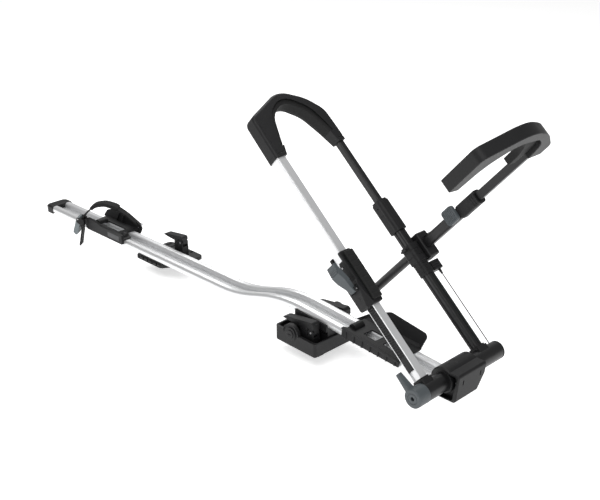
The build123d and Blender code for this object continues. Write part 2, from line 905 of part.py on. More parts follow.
def slider_body():
    """Black slider: a deep foot around the ratchet bar and a slimmer, open upper part."""
    half = slider_depth / 2
    upper_y = slider_outer_y + slider_upper_inset
    foot_top = slider_start + slider_foot_length
    points = (
        (slider_inner_y, slider_start),
        (slider_outer_y, slider_start),
        (slider_outer_y, foot_top),
        (upper_y, foot_top + 2 * slider_upper_inset),
        (upper_y, slider_end),
        (slider_inner_y, slider_end),
    )
    corner = slider_corner
    body = cross_prism(points, (-half, half), (corner, corner, corner / 2, corner / 2, corner, corner))
    body = chamfer(body.faces().filter_by(Axis.X).sort_by(Axis.X)[-1].edges(), corner / 4)
    # corner of the foot cut away at the front
    low = slider_start + slider_cut_start
    first = Vector(half, slider_outer_y + slider_cut_in, low)
    second = Vector(half, slider_outer_y, low + slider_cut_rise)
    third = Vector(half - slider_cut_back, slider_outer_y, low)
    inward = (third - first).cross(second - first)
    body = split(body, Plane(origin=first, z_dir=inward))
    # window in the near side of the upper part
    window = (
        (slider_window_rear, slider_start + slider_window_low),
        (0, slider_start + slider_window_high),
        (slider_window_front, slider_start + slider_window_high),
        (slider_window_front, slider_end + overrun),
        (slider_window_rear, slider_end + overrun),
    )
    body -= side_prism(window, (slider_outer_y - overrun, slider_outer_y + slider_window_depth))
    # ears for the paddle's pin
    for sign in (-1, 1):
        middle = sign * (paddle_foot_width / 2 + paddle_ear_width / 2 + face_gap) + paddle_middle
        ear_x = (middle - paddle_ear_width / 2, middle + paddle_ear_width / 2)
        ear = block(ear_x, (paddle_pivot_y - paddle_pin_radius * 2, slider_outer_y + overrun),
                    (paddle_pivot - paddle_pin_radius * 3, paddle_pivot + paddle_pin_radius * 3),
                    paddle_pin_radius / 2, Axis.X)
        body += ear
    # room for the pawl, the bar and the sleeve
    pawl_half = pawl_width / 2 + sliding_clearance
    pawl_x = (paddle_middle - pawl_half, paddle_middle + pawl_half)
    high = paddle_pivot + pawl_arm_rise + pawl_arm_drop
    body -= block(pawl_x, (slider_outer_y + pawl_skin, -leg_y), (paddle_pivot - pawl_reach - pawl_room, high))
    body -= block(pawl_x, (slider_outer_y - overrun, -leg_y), (paddle_pivot - paddle_thickness / 2, high))
    grow = 2 * sliding_clearance
    body -= bar(ratchet_width + grow, ratchet_depth + grow, slider_start, slider_end, -leg_y)
    body -= sleeve_outer(sleeve_start, slider_end + overrun)
    body -= paddle_pin_rod(0)
    mark_z = (paddle_pivot - pawl_reach + mark_size, paddle_pivot - pawl_reach)
    mark = block((paddle_middle - mark_size / 2, paddle_middle + mark_size / 2),
                 (slider_outer_y, slider_outer_y + pawl_skin / 3), (mark_z[1], mark_z[0]), mark_size / 6, Axis.Y)
    return body - mark


def paddle_pin_rod(gap):
    """Pin that the paddle turns on, across the leg."""
    reach = paddle_foot_width / 2 + paddle_ear_width + face_gap
    return rod(paddle_pin_radius + gap, (paddle_middle - reach, paddle_pivot_y, paddle_pivot),
               (paddle_middle + reach, paddle_pivot_y, paddle_pivot))


def slider_grip():
    """Soft grip on the front face, in nine rounded blocks with grooves between."""
    start = slider_start + grip_margin
    end = slider_end - slider_corner
    front = slider_depth / 2
    limits = (slider_inner_y - grip_width, slider_inner_y)
    grip = block((front, front + grip_thickness), limits, (start, end), grip_corner, Axis.X)
    grip = fillet(grip.faces().sort_by(Axis.X)[-1].edges(), grip_corner)
    pitch = (end - start) / grip_rib_count
    opening = grip_rib_gap * (grip_rib_depth + overrun) / grip_rib_depth / 2
    for place in range(1, grip_rib_count):
        height = start + place * pitch
        points = (
            (front + grip_thickness - grip_rib_depth, height),
            (front + grip_thickness + overrun, height - opening),
            (front + grip_thickness + overrun, height + opening),
        )
        grip -= side_prism(points, (limits[0] - overrun, limits[1] + overrun))
    return grip


def slider_paddle():
    """Grey paddle, narrow at its hinge, standing out at its tip, with ribs across its top third."""
    foot = paddle_pivot - paddle_thickness / 2
    bulge = paddle_pivot + (paddle_tip - paddle_pivot) * 2 / 3
    points = (
        (paddle_pivot_y - paddle_thickness / 2, foot),
        (paddle_pivot_y + paddle_thickness / 2, foot),
        (paddle_tip_y + paddle_thickness, paddle_tip - paddle_thickness),
        (paddle_tip_y + paddle_thickness, paddle_tip),
        (paddle_tip_y, paddle_tip),
        (paddle_tip_y - paddle_thickness / 3, bulge),
    )
    radii = (paddle_corner, paddle_corner / 2, 0, paddle_corner / 2, paddle_corner, paddle_corner * 4)
    foot_half = paddle_foot_width / 2
    half = paddle_width / 2
    paddle = cross_prism(points, (paddle_middle - half, paddle_middle + half), radii)
    front = (
        (paddle_middle - foot_half, foot - overrun),
        (paddle_middle + foot_half, foot - overrun),
        (paddle_middle + foot_half, paddle_pivot + paddle_thickness),
        (paddle_middle + half, bulge - 2 * paddle_thickness),
        (paddle_middle + half - paddle_corner / 4, paddle_tip + overrun),
        (paddle_middle - half + paddle_corner / 4, paddle_tip + overrun),
        (paddle_middle - half, bulge - 2 * paddle_thickness),
        (paddle_middle - foot_half, paddle_pivot + paddle_thickness),
    )
    paddle &= side_prism(front, (paddle_tip_y - 2 * paddle_thickness, paddle_pivot_y + paddle_thickness))
    pitch = (paddle_tip - bulge) / paddle_rib_count
    for place in range(paddle_rib_count):
        height = paddle_tip - paddle_corner / 2 - (place + 1 / 2) * pitch
        paddle -= block((paddle_middle - half - overrun, paddle_middle + half + overrun),
                        (paddle_tip_y - paddle_thickness, paddle_tip_y - paddle_corner / 8),
                        (height - pitch / 6, height + pitch / 6))
    return paddle - paddle_pin_rod(running_clearance)


def slider_pawl(paddle):
    """Catch on the paddle's inner side: an arm, a leg inside the foot's skin and a tooth."""
    tooth_y = -leg_y - ratchet_width / 2 - face_gap
    leg_outer = slider_outer_y + pawl_skin + pawl_swing
    leg_inner = leg_outer + pawl_thickness
    low = paddle_pivot - pawl_reach
    points = (
        (paddle_pivot_y, paddle_pivot + pawl_arm_rise),
        (leg_inner, paddle_pivot + pawl_arm_rise),
        (leg_inner, low + 2 * pawl_thickness),
        (tooth_y, low + pawl_thickness),
        (tooth_y, low),
        (leg_outer, low),
        (leg_outer, paddle_pivot - pawl_arm_drop),
        (paddle_pivot_y, paddle_pivot - pawl_arm_drop),
    )
    half = pawl_width / 2
    pawl = cross_prism(points, (paddle_middle - half, paddle_middle + half))
    return pawl - paddle - paddle_pin_rod(running_clearance)


def slider_rivets():
    """Two small bright rivets on the slider's near face."""
    face_y = slider_outer_y + slider_upper_inset
    pins = [rod(rivet_radius, (paddle_middle, face_y, place), (paddle_middle, face_y - rivet_length / 2, place))
            for place in rivet_places]
    return Compound(children=pins)


def hoop_head():
    """Moulded head that bridges the two legs, rounded outside and open inside."""
    outer = (
        (head_outer_near_y, head_start),
        (head_corner_y, head_corner_s),
        (head_apex_y, head_apex_s),
        (head_far_y, head_far_s),
        (head_far_leg_y, head_far_leg_s),
        (head_outer_far_y, head_far_start),
    )
    inner = head_inner_points()
    points = outer + inner
    half = head_depth / 2
    body = prism(Plane.YZ.offset(-half), points, head_depth, eased(points, head_outer_shares + head_inner_shares))
    for face in (0, -1):
        rim = body.faces().filter_by(Axis.X).sort_by(Axis.X)[face]
        outside = [edge for edge in rim.edges() if is_outside(edge)]
        body = fillet(outside, head_edge)
    # the far leg gets thinner towards its end
    for sign in (-1, 1):
        wedge = (
            (sign * half, head_taper_s),
            (sign * (half + overrun), head_taper_s),
            (sign * (half + overrun), head_far_start - overrun),
            (sign * head_far_half, head_far_start - overrun),
        )
        body -= side_prism(wedge, (head_taper_y, head_outer_far_y + overrun))
    # lip line near each end and a seam up the near leg's front
    near_z = (head_start + head_lip_length, head_start + head_lip_length + head_seam)
    near = block((-half - overrun, half + overrun), (head_outer_near_y - overrun, head_near_inner_y), near_z)
    near -= block((-half + head_lip, half - head_lip), (head_outer_near_y + head_lip, head_near_inner_y), near_z)
    body -= near
    far_z = (head_far_start + head_lip_length, head_far_start + head_lip_length + head_seam)
    far_half = head_far_half - head_lip
    far = block((-half - overrun, half + overrun), (head_far_inner_y, head_outer_far_y + overrun), far_z)
    far -= block((-far_half, far_half), (head_far_inner_y, head_outer_far_y - head_lip), far_z)
    body -= far
    seam_y = head_outer_near_y + head_seam_inset
    body -= block((half - head_lip, half + overrun), (seam_y, seam_y + head_seam), (head_start, head_seam_end))
    body -= head_pad_space(half + overrun)
    body -= sleeve_outer(head_start - overrun, sleeve_end)
    body -= bar(rod_width, rod_depth, head_far_start - overrun, rod_end, leg_y, rod_corner)
    return body


def is_outside(edge):
    """True for an edge on the head's outer line."""
    point = edge @ (1 / 2)
    if point.Z < head_start + head_edge:
        return False
    if point.Z > head_inner_s + head_edge:
        return True
    if point.Y > 0:
        return point.Y > (head_far_leg_y + head_inner_half) / 2 + (head_far_leg_s - point.Z) / head_edge
    return point.Y < (head_corner_y + head_near_inner_y) / 2


def head_inner_points():
    """Corners of the head's inner line, from the far leg to the near one."""
    return (
        (head_far_inner_y, head_far_start),
        (head_far_throat_y, head_throat_far),
        (head_far_side_y, head_far_side_s),
        (head_inner_y, head_inner_s),
        (-head_inner_half, head_near_side_s),
        (-head_near_throat_y, head_throat_near),
        (head_near_inner_y, head_start),
    )


def head_opening(grow):
    """Face of the head's opening, grown by a band."""
    points = head_inner_points()
    face = outline(Plane.YZ, points, eased(points, head_inner_shares))
    if grow:
        face = offset(face, grow)
    return face


def head_pad_space(front):
    """Band around the opening that the soft pad lies in, up to a front face."""
    depth = front + pad_depth / 2
    band = extrude(head_opening(pad_thickness), depth, dir=(1, 0, 0))
    band -= extrude(head_opening(0), depth, dir=(1, 0, 0))
    start = (head_throat_near + head_start) / 2
    return split(Pos(-pad_depth / 2, 0, 0) * band, Plane(origin=(0, 0, start), z_dir=(0, 0, 1)))


def hoop_pad():
    """Soft lining on the inside of the head, sunk below its front face."""
    return head_pad_space(head_depth / 2 - pad_recess)


def far_lower_tube():
    """Black lower tube of the far leg, grooved on its front and near faces."""
    tube = bar(far_tube_width, far_tube_width, leg_start, far_tube_end, leg_y, far_tube_corner)
    half = far_tube_width / 2
    groove_half = far_tube_groove_width / 2
    tube -= block((half - far_tube_groove, half), (leg_y - groove_half, leg_y + groove_half), (leg_start, far_tube_end))
    tube -= block((-groove_half, groove_half), (leg_y - half, leg_y - half + far_tube_groove),
                  (leg_start, far_tube_end))
    grow = 2 * sliding_clearance
    return tube - bar(rod_width + grow, rod_depth + grow, leg_start + overrun, far_tube_end, leg_y, rod_corner)


def far_rod():
    """Black telescopic bar of the far leg."""
    return bar(rod_width, rod_depth, rod_start, rod_end, leg_y, rod_corner)


def far_collar():
    """Moulded collar at the top of the lower tube with a spine down its corner."""
    lower = bar(collar_width, collar_width, collar_start, collar_end - collar_lip, leg_y, collar_corner)
    upper = bar(collar_width - collar_lip, collar_width - collar_lip, collar_end - collar_lip, collar_end, leg_y,
                collar_corner - collar_lip / 2)
    spine = Pos(collar_width / 2 - collar_corner, leg_y - collar_width / 2 + collar_corner, 0)
    spine = spine * rod(collar_corner + collar_spine / 4, (0, 0, collar_start), (0, 0, collar_end - collar_lip))
    body = lower + upper + spine
    hole_z = collar_end - collar_width / 2
    body -= rod(collar_hole_radius, (0, leg_y - collar_width, hole_z), (0, leg_y - far_tube_width / 2, hole_z))
    mark_z = (collar_start + collar_end) / 2
    mark = rod(collar_width / 4, (0, leg_y - collar_width / 2, mark_z),
               (0, leg_y - collar_width / 2 + collar_mark_depth, mark_z))
    mark -= rod(collar_width / 4 - 2 * collar_mark_depth, (0, leg_y - collar_width / 2, mark_z),
                (0, leg_y - collar_width / 2 + collar_mark_depth, mark_z))
    mark -= block((-collar_width, collar_width), (0, leg_y), (mark_z - collar_width, mark_z))
    body -= mark
    body -= bar(far_tube_width, far_tube_width, collar_start, far_tube_end, leg_y, far_tube_corner)
    grow = 2 * sliding_clearance
    return body - bar(rod_width + grow, rod_depth + grow, far_tube_end, collar_end, leg_y, rod_corner)


def junction_sleeve():
    """Ringed sleeve on the far leg that carries the second arm's pivot."""
    low = bar(junction_low_width, junction_low_width, junction_start, junction_ring_start, leg_y, junction_corner)
    high = bar(junction_width, junction_width, junction_ring_start, junction_end, leg_y, junction_corner)
    body = low + high
    spaces = ((junction_start, junction_ring_start, junction_narrow_rings, junction_low_width),
              (junction_ring_start, junction_end, junction_wide_rings, junction_width))
    for start, end, count, width in spaces:
        pitch = (end - start) / count
        for place in range(1, count):
            height = start + place * pitch
            inner = width - 2 * junction_groove
            cut = bar(width + overrun, width + overrun, height - junction_groove_width / 2,
                      height + junction_groove_width / 2, leg_y)
            cut -= bar(inner, inner, height - junction_groove_width / 2, height + junction_groove_width / 2, leg_y,
                       junction_corner - junction_groove)
            body -= cut
    tip_y = leg_y - junction_width / 2
    body += block((-junction_width / 4, junction_width / 4), (tip_y - flange_reach, leg_y),
                  (junction_end - 2 * flange_length, junction_end - flange_length))
    hub_ends = ((0, leg_y, arm_s), (0, block_near_y - face_gap, arm_s))
    body += rod(arm_pin_head_radius, *hub_ends)
    body -= bar(far_tube_width, far_tube_width, junction_start, junction_end, leg_y, far_tube_corner)
    return body - arm_pin_rod(0, leg_y)


def arm_pin_rod(gap, start_y):
    """Pivot pin of the second arm, along Y."""
    return rod(arm_pin_radius + gap, (0, start_y, arm_s), (0, block_far_y, arm_s))


def arm_pivot_pin():
    """Pin through the junction and the block, with a flat head outside."""
    pin = arm_pin_rod(0, leg_y + far_tube_width / 2)
    head = rod(arm_pin_head_radius, (0, block_far_y + face_gap, arm_s), (0, block_far_y + face_gap + arm_pin_head, arm_s))
    neck = rod(arm_pin_radius, (0, block_far_y, arm_s), (0, block_far_y + face_gap, arm_s))
    return pin + neck + head


def cable_boss():
    """Stacked ribs on the junction sleeve's far side that guide the release cable."""
    y = (leg_y + junction_low_width / 2, leg_y + junction_low_width / 2 + boss_width)
    x = (boss_rear, boss_rear + boss_depth)
    boss = block(x, y, (boss_start, boss_start + boss_length))
    boss = fillet(boss.edges().filter_by(Axis.Z).sort_by(Axis.Y)[-2:], boss_corner)
    pitch = boss_length / boss_rib_count
    for place in range(1, boss_rib_count):
        height = boss_start + place * pitch
        limits = (height - boss_rib_gap / 2, height + boss_rib_gap / 2)
        cut = block((x[0] - overrun, x[1] + overrun), (y[0], y[1] + overrun), limits)
        boss -= cut - block((x[0] + boss_rib_depth, x[1] - boss_rib_depth), (y[0], y[1] - boss_rib_depth), limits)
    return boss


def cable_ends():
    """Start and end of the cable's free run."""
    start = Vector(ferrule_rise, ferrule_y, boss_start)
    end = Vector(cable_exit_rise, cable_exit_y, pivot_tube_radius - pivot_tube_wall)
    return start, end


def cable_ferrule():
    """Metal sleeve where the cable leaves the boss."""
    start, end = cable_ends()
    along = (end - start).normalized()
    tip = start + along * ferrule_length
    body = rod(ferrule_radius, start, tip)
    lip = start + along * ferrule_length * 0.55
    thin = rod(ferrule_radius + overrun, lip, tip)
    thin -= rod(ferrule_radius * 0.8, lip, tip)
    body = split(body - thin, Plane(origin=(0, 0, boss_start), z_dir=(0, 0, -1)))
    return body - rod(cable_radius, start, tip)


def release_cable():
    """Tight cable from the boss to the pivot tube."""
    start, end = cable_ends()
    start += (end - start).normalized() * cable_radius
    return rod(cable_radius, start, end)


def arm_block():
    """Block that turns on the hoop's pivot and carries both arm tubes, chamfered at its back."""
    half = block_width / 2
    low = block_low_reach
    high = block_low_reach - block_length
    back = block_chamfer
    front = block_front_chamfer
    points = (
        (low, -half + back),
        (low, half - front),
        (low - front, half),
        (high + front, half),
        (high, half - front),
        (high, -half + back),
        (high + back, -half),
        (low - back, -half),
    )
    body = side_prism(points, (block_near_y - arm_y, block_far_y - arm_y))
    body = chamfer(body.faces().sort_by(Axis.Y)[-1].edges(), block_edge)
    body = chamfer(body.faces().sort_by(Axis.Y)[0].edges(), block_edge)
    body -= low_tube_rod(low_tube_radius, -half - overrun, -block_width / 4)
    body -= top_tube_bar(0, top_tube_start, half + overrun)
    pin = rod(arm_pin_radius + running_clearance, (0, -block_far_y, 0), (0, block_far_y, 0))
    return body - pin


def low_tube_rod(radius, start, end):
    """Round bar on the arm's line."""
    return rod(radius, (0, 0, start), (0, 0, end))


def top_tube_bar(shrink, start, end):
    """Rounded bar of the upper tube's outline."""
    width = top_tube_width - 2 * shrink
    depth = top_tube_depth - 2 * shrink
    return bar(depth, width, start, end, 0, top_tube_corner - shrink)


def arm_lower_tube():
    """Round black tube below the block."""
    start = -low_tube_length
    end = -block_width / 4
    return low_tube_rod(low_tube_radius, start, end) - low_tube_rod(low_tube_radius - low_tube_wall, start, end)


def arm_lower_plug():
    """Plug in the lower tube's open end."""
    start = -low_tube_length
    plug = low_tube_rod(low_tube_radius - low_tube_wall, start, start + low_plug_length)
    rim = low_tube_rod(low_tube_radius, start - low_plug_length / 4, start)
    return plug + rim


def arm_upper_tube():
    """Rounded black tube above the block, opened for the button."""
    tube = top_tube_bar(0, top_tube_start, top_tube_length)
    grow = 2 * sliding_clearance
    tube -= bar(arm_rod_depth + grow, arm_rod_width + grow, top_tube_start + top_tube_wall, top_tube_length, 0,
                arm_rod_corner)
    return tube - button_stem(sliding_clearance)


def arm_plug():
    """Rounded plug let into the front of the upper tube's foot."""
    face = -top_tube_width / 2
    half = plug_width / 2
    body = block((face - plug_rise, face), (-half, half), (plug_start, plug_start + plug_length), half - plug_rise,
                 Axis.X)
    return body


def arm_collar():
    """Thicker collar at the top of the upper tube, with two rings and a small hole."""
    body = bar(arm_collar_depth, arm_collar_width, button_start + button_length + 4 * face_gap, top_tube_length, 0,
               arm_collar_corner)
    pitch = arm_collar_depth / 4
    for place in range(arm_collar_grooves):
        height = top_tube_length - (place + 1) * pitch
        inner_depth = arm_collar_depth - 2 * arm_collar_groove
        inner_width = arm_collar_width - 2 * arm_collar_groove
        cut = bar(arm_collar_depth + overrun, arm_collar_width + overrun, height - arm_collar_groove / 2,
                  height + arm_collar_groove / 2)
        cut -= bar(inner_depth, inner_width, height - arm_collar_groove / 2, height + arm_collar_groove / 2, 0,
                   arm_collar_corner - arm_collar_groove)
        body -= cut
    hole_z = top_tube_length - 3.5 * pitch
    body -= rod(collar_hole_radius, (-arm_collar_width, 0, hole_z), (-top_tube_width / 2, 0, hole_z))
    return body - top_tube_bar(0, top_tube_start, top_tube_length)


def button_y():
    """Outer and inner faces of the button, on the tube's near side."""
    return -top_tube_depth / 2 - button_rise - button_travel, -top_tube_depth / 2 - button_travel


def button_stem(gap):
    """Stem of the button through the wall of the upper tube; with a gap, the hole for it."""
    middle = button_start + button_length / 2
    across = button_stem_width / 2 + gap
    along = button_stem_length / 2 + gap
    stop = -arm_rod_depth / 2 - button_travel - face_gap
    if gap:
        stop = -arm_rod_depth / 2
    return block((-across, across), (button_y()[1] - button_rise / 4, stop), (middle - along, middle + along))


def arm_button():
    """Grey ribbed button that frees the arm's telescopic rod."""
    x = (button_offset - button_width / 2, button_offset + button_width / 2)
    y = button_y()
    z = (button_start, button_start + button_length)
    body = block(x, y, z, button_corner, Axis.Y)
    body = fillet(body.faces().sort_by(Axis.Y)[0].edges(), button_corner / 4)
    frame_x = (x[0] + button_frame, x[1] - button_frame)
    frame_z = (z[0] + button_frame, z[1] - button_frame)
    window = block(frame_x, (y[0] - overrun, y[0] + button_rib_depth), frame_z)
    pitch = (frame_z[1] - frame_z[0]) / button_rib_count
    for place in range(button_rib_count):
        height = frame_z[0] + (place + 1 / 2) * pitch
        window -= block(frame_x, (y[0], y[0] + button_rib_depth), (height - pitch / 4, height + pitch / 4))
    return body - window + button_stem(0)


def arm_rod():
    """Flat telescopic rod of the second arm, with a hole near the hook."""
    body = bar(arm_rod_depth, arm_rod_width, arm_rod_start, arm_rod_end, 0, arm_rod_corner)
    half = arm_rod_width / 2
    body -= rod(arm_rod_hole_radius, (-half - overrun, 0, arm_rod_hole_h), (-half + arm_rod_hole_radius, 0, arm_rod_hole_h))
    groove_half = arm_rod_groove_width / 2
    side = arm_rod_depth / 2
    groove = block((half - arm_rod_groove - groove_half, half - arm_rod_groove), (side - arm_rod_groove, side),
                   (arm_rod_start, arm_rod_end))
    return body - groove


def hook_points():
    """Corners of the hook: its outer line from the near free end, then its inner line back."""
    return (
        (hook_near_y, hook_near_h),
        (hook_corner_y, hook_corner_h),
        (hook_apex_y, hook_apex_h),
        (hook_shoulder_y, hook_shoulder_h),
        (hook_far_y, hook_far_h),
        (hook_far_y, hook_far_end_h),
        (hook_far_leg_y, hook_far_end_h),
        (hook_far_side_y, hook_far_side_h),
        (hook_far_inner_y, hook_far_inner_h),
        (hook_inner_far_y, hook_inner_far_h),
        (hook_inner_near_y, hook_inner_h),
        (hook_throat_y, hook_throat_h),
        (hook_near_inner_y, hook_near_inner_h),
    )


def hook_plane(offset):
    """Plane of the hook's outline; its points are (across the carrier, along the arm)."""
    return Plane(origin=(offset, -arm_y, 0), x_dir=(0, 1, 0), z_dir=(1, 0, 0))


def hook_head():
    """Moulded hook, a broad band that bends across the carrier."""
    points = hook_points()
    high = hook_low_reach - hook_width
    body = prism(hook_plane(high), points, hook_width, eased(points, hook_shares))
    body = chamfer(body.faces().filter_by(Axis.X).sort_by(Axis.X)[0].edges(), hook_edge / 4)
    body = chamfer(body.faces().filter_by(Axis.X).sort_by(Axis.X)[-1].edges(), hook_edge / 4)
    body -= hook_pad()
    return body - bar(arm_rod_depth, arm_rod_width, arm_rod_start, arm_rod_end, 0, arm_rod_corner)


def hook_pad():
    """Soft pad let into the inside of the hook, hanging below its far leg."""
    reach = hook_pad_reach
    points = (
        (hook_pad_inner_y, hook_pad_end_h),
        (hook_far_side_y - reach, hook_far_side_h - reach / 2),
        (hook_inner_far_y - reach / 3, hook_inner_far_h - reach),
        (hook_inner_near_y + reach, hook_inner_h - reach / 2),
        (hook_inner_near_y, hook_inner_h - reach / 6),
        (hook_inner_near_y, hook_inner_h + reach / 5),
        (hook_inner_near_y + 2 * reach, hook_inner_h + reach / 8),
        (hook_inner_far_y + reach / 5, hook_inner_far_h + reach / 6),
        (hook_far_inner_y + reach / 4, hook_far_inner_h + reach / 10),
        (hook_far_side_y + reach / 8, hook_far_side_h),
        (hook_far_side_y + reach / 10, hook_pad_end_h),
    )
    high = hook_low_reach - hook_width
    return prism(hook_plane(high), points, hook_pad_width, eased(points, hook_pad_shares))


def tray_space():
    """Solid outline of the whole tray, for what seats on it."""
    plane = Plane(origin=(tray_rear_x, 0, tray_low_z), x_dir=(0, 1, 0), z_dir=(1, 0, 0))
    return sweep(plane * tray_section(False), path=tray_path())


def foot_underside(x):
    """Height of the front foot's sloping underside."""
    share = (x + foot_half_length) / (2 * foot_half_length)
    return foot_pad_height + (foot_front_lift - foot_pad_height) * share


def front_foot_housing():
    """Open moulded box on the load bar, with a raised rim around each long side's middle."""
    points = ((-foot_half_length, foot_pad_height), (foot_half_length, foot_front_lift),
              (foot_half_length, foot_front_height), (-foot_half_length, foot_rear_height))
    y = (-foot_half_width, foot_half_width)
    body = side_prism(points, y)
    corners = body.edges().filter_by(Axis.Z).sort_by(Axis.X)
    body = fillet(corners[:2], foot_corner)
    corners = body.edges().filter_by(Axis.Z).sort_by(Axis.X)
    body = fillet(corners[-2:], foot_front_corner)
    wall_y = foot_half_width - foot_rim_thickness
    for sign in (-1, 1):
        ends = sorted((sign * foot_half_width, sign * wall_y))
        disc = rod(foot_rim_radius, (foot_rim_x, ends[0], foot_rim_z), (foot_rim_x, ends[1], foot_rim_z))
        body += split(disc, Plane(origin=(0, 0, foot_floor), z_dir=(0, 0, 1)))
        lip_ends = (sign * foot_half_width, sign * (foot_half_width + foot_rim_lip))
        lip = rod(foot_rim_radius, (foot_rim_x, lip_ends[0], foot_rim_z), (foot_rim_x, lip_ends[1], foot_rim_z))
        lip -= rod(foot_rim_radius - foot_rim_lip, (foot_rim_x, lip_ends[0], foot_rim_z),
                   (foot_rim_x, lip_ends[1], foot_rim_z))
        body += split(lip, Plane(origin=(0, 0, foot_front_height), z_dir=(0, 0, 1)))
    inner = foot_half_length - foot_wall
    body -= block((-inner, inner), (-wall_y, wall_y), (foot_floor, foot_rear_height + foot_rim_radius),
                  foot_corner - foot_wall)
    boss_y = -foot_half_width - knob_boss_length
    body += rod(knob_boss_radius, (foot_rim_x, boss_y, foot_rim_z), (foot_rim_x, -wall_y, foot_rim_z))
    body -= rod(knob_radius + sliding_clearance, (foot_rim_x, boss_y, foot_rim_z),
                (foot_rim_x, -foot_half_width + knob_boss_length, foot_rim_z))
    body -= rod(knob_shaft_radius + running_clearance, (foot_rim_x, boss_y, foot_rim_z),
                (foot_rim_x, -wall_y, foot_rim_z))
    for sign in (-1, 1):
        nub_y = sign * (foot_half_width - nub_width)
        body += block((foot_half_length - nub_length, foot_half_length),
                      (nub_y - nub_width / 2, nub_y + nub_width / 2), (0, foot_pad_height), nub_length / 4)
    return body


def foot_knob():
    """Slotted round knob in the boss on the front foot's near side."""
    face_y = -foot_half_width - knob_boss_length - foot_rim_lip
    back_y = -foot_half_width + knob_boss_length - face_gap
    disc = rod(knob_radius, (foot_rim_x, face_y, foot_rim_z), (foot_rim_x, back_y, foot_rim_z))
    disc = fillet(disc.edges().sort_by(Axis.Y)[0], knob_slot_depth)
    slot = block((foot_rim_x - knob_radius / 2, foot_rim_x + knob_radius / 2), (face_y, face_y + knob_slot_depth),
                 (foot_rim_z - knob_slot_width / 2, foot_rim_z + knob_slot_width / 2))
    shaft = rod(knob_shaft_radius, (foot_rim_x, back_y, foot_rim_z),
                (foot_rim_x, -foot_half_width + foot_rim_thickness + knob_length, foot_rim_z))
    return disc - slot + shaft


def foot_pads():
    """Rubber pads under the two feet, where they rest on the load bars."""
    half_y = foot_half_width - foot_pad_inset
    x = (-foot_half_length + foot_pad_inset, foot_half_length - nub_length - foot_pad_inset / 2)
    points = ((x[0], 0), (x[1], 0), (x[1], foot_underside(x[1])), (x[0], foot_underside(x[0])))
    front = side_prism(points, (-half_y, half_y))
    half_x = rear_foot_length / 2 - foot_pad_inset
    rear = block((rear_foot_x - half_x, rear_foot_step_x - foot_pad_inset),
                 (rear_foot_near_y + foot_pad_inset, rear_foot_far_y - 3 * foot_pad_inset), (0, foot_pad_height),
                 foot_corner / 2)
    return Compound(children=[front, rear])


def foot_saddle(space):
    """Block between the front foot's floor and the tray, with lips along the tray's sides."""
    reach = rail_top / math.cos(math.radians(tray_slope))
    rear_z = tray_z(saddle_rear_x) - reach
    front_z = tray_z(saddle_front_x) - reach
    points = ((saddle_rear_x, foot_floor), (saddle_front_x, foot_floor), (saddle_front_x, front_z),
              (saddle_rear_x, rear_z))
    body = side_prism(points, (-saddle_half_width, saddle_half_width))
    top = ((saddle_rear_x, rear_z - saddle_lip_height), (saddle_front_x, front_z - saddle_lip_height),
           (saddle_front_x, front_z + saddle_lip_height), (saddle_rear_x, rear_z + saddle_lip_height))
    lip_y = tray_half + saddle_lip_thickness
    body += side_prism(top, (-lip_y, lip_y))
    body -= side_prism(shaped(((0, 0), (1, 0), (1, 1), (0, 1)), (saddle_rear_x, rear_z + saddle_lip_height / 2),
                              (saddle_front_x - saddle_rear_x, saddle_lip_height)), (-rail_y, rail_y))
    pitch = (saddle_front_x - saddle_rear_x) / (saddle_rib_count + 1)
    for place in range(saddle_rib_count + 1):
        start = saddle_rear_x + place * pitch + saddle_rib_depth
        for sign in (-1, 1):
            limits = sorted((sign * saddle_half_width, sign * (saddle_half_width - saddle_rib_depth)))
            body -= block((start, start + pitch - 2 * saddle_rib_depth), limits,
                          (foot_rear_height, front_z - saddle_lip_height - saddle_rib_depth))
    trough = side_prism(((saddle_rear_x, rear_z + overrun), (saddle_front_x, front_z + overrun),
                         (saddle_front_x, front_z + 2 * rail_height), (saddle_rear_x, rear_z + 2 * rail_height)),
                        (-tray_half, tray_half))
    return body - space - trough


def clamp_lines(share):
    """Outlines of a clamp's lever and body from the foot of its front face."""
    length = clamp_length * share
    rise = clamp_rise * share
    back = -2 * clamp_pin_setback
    knee = clamp_pin_setback + clamp_gap
    lever = shaped(clamp_top_shares, (0, 0), (length, rise))
    under = shaped(clamp_under_shares, (0, 0), (length, rise))
    lever += [(0, 0), (back, 0), (back - clamp_gap, knee)] + under
    body = [(under[0][0], under[0][1] - clamp_gap), (back - 2 * clamp_gap, knee - clamp_gap),
            (back - 2 * clamp_gap, -clamp_gap), (0, -clamp_gap)]
    return lever, body


def clamp_lever(share):
    """Lever of a clamp, a shell with a hooked rear lip, hinged near its front face."""
    lever, _ = clamp_lines(share)
    half = clamp_width / 2
    small = clamp_gap * 3
    lobe = clamp_pin_setback - clamp_gap
    radii = (small / 2, small * 3, small * 3, small, lobe, lobe, 0, small, small, small / 2)
    solid = side_prism(lever, (-half, half), radii)
    for face in (0, -1):
        solid = chamfer(solid.faces().filter_by(Axis.Y).sort_by(Axis.Y)[face].edges(), small / 2)
    for sign in (-1, 1):
        limits = sorted((sign * (half - clamp_ear_width - clamp_gap), sign * (half + overrun)))
        solid -= block((-2 * clamp_pin_setback - 2 * clamp_gap, overrun), limits,
                       (-overrun, 2 * clamp_pin_setback - clamp_gap))
    return solid - clamp_pin(running_clearance)


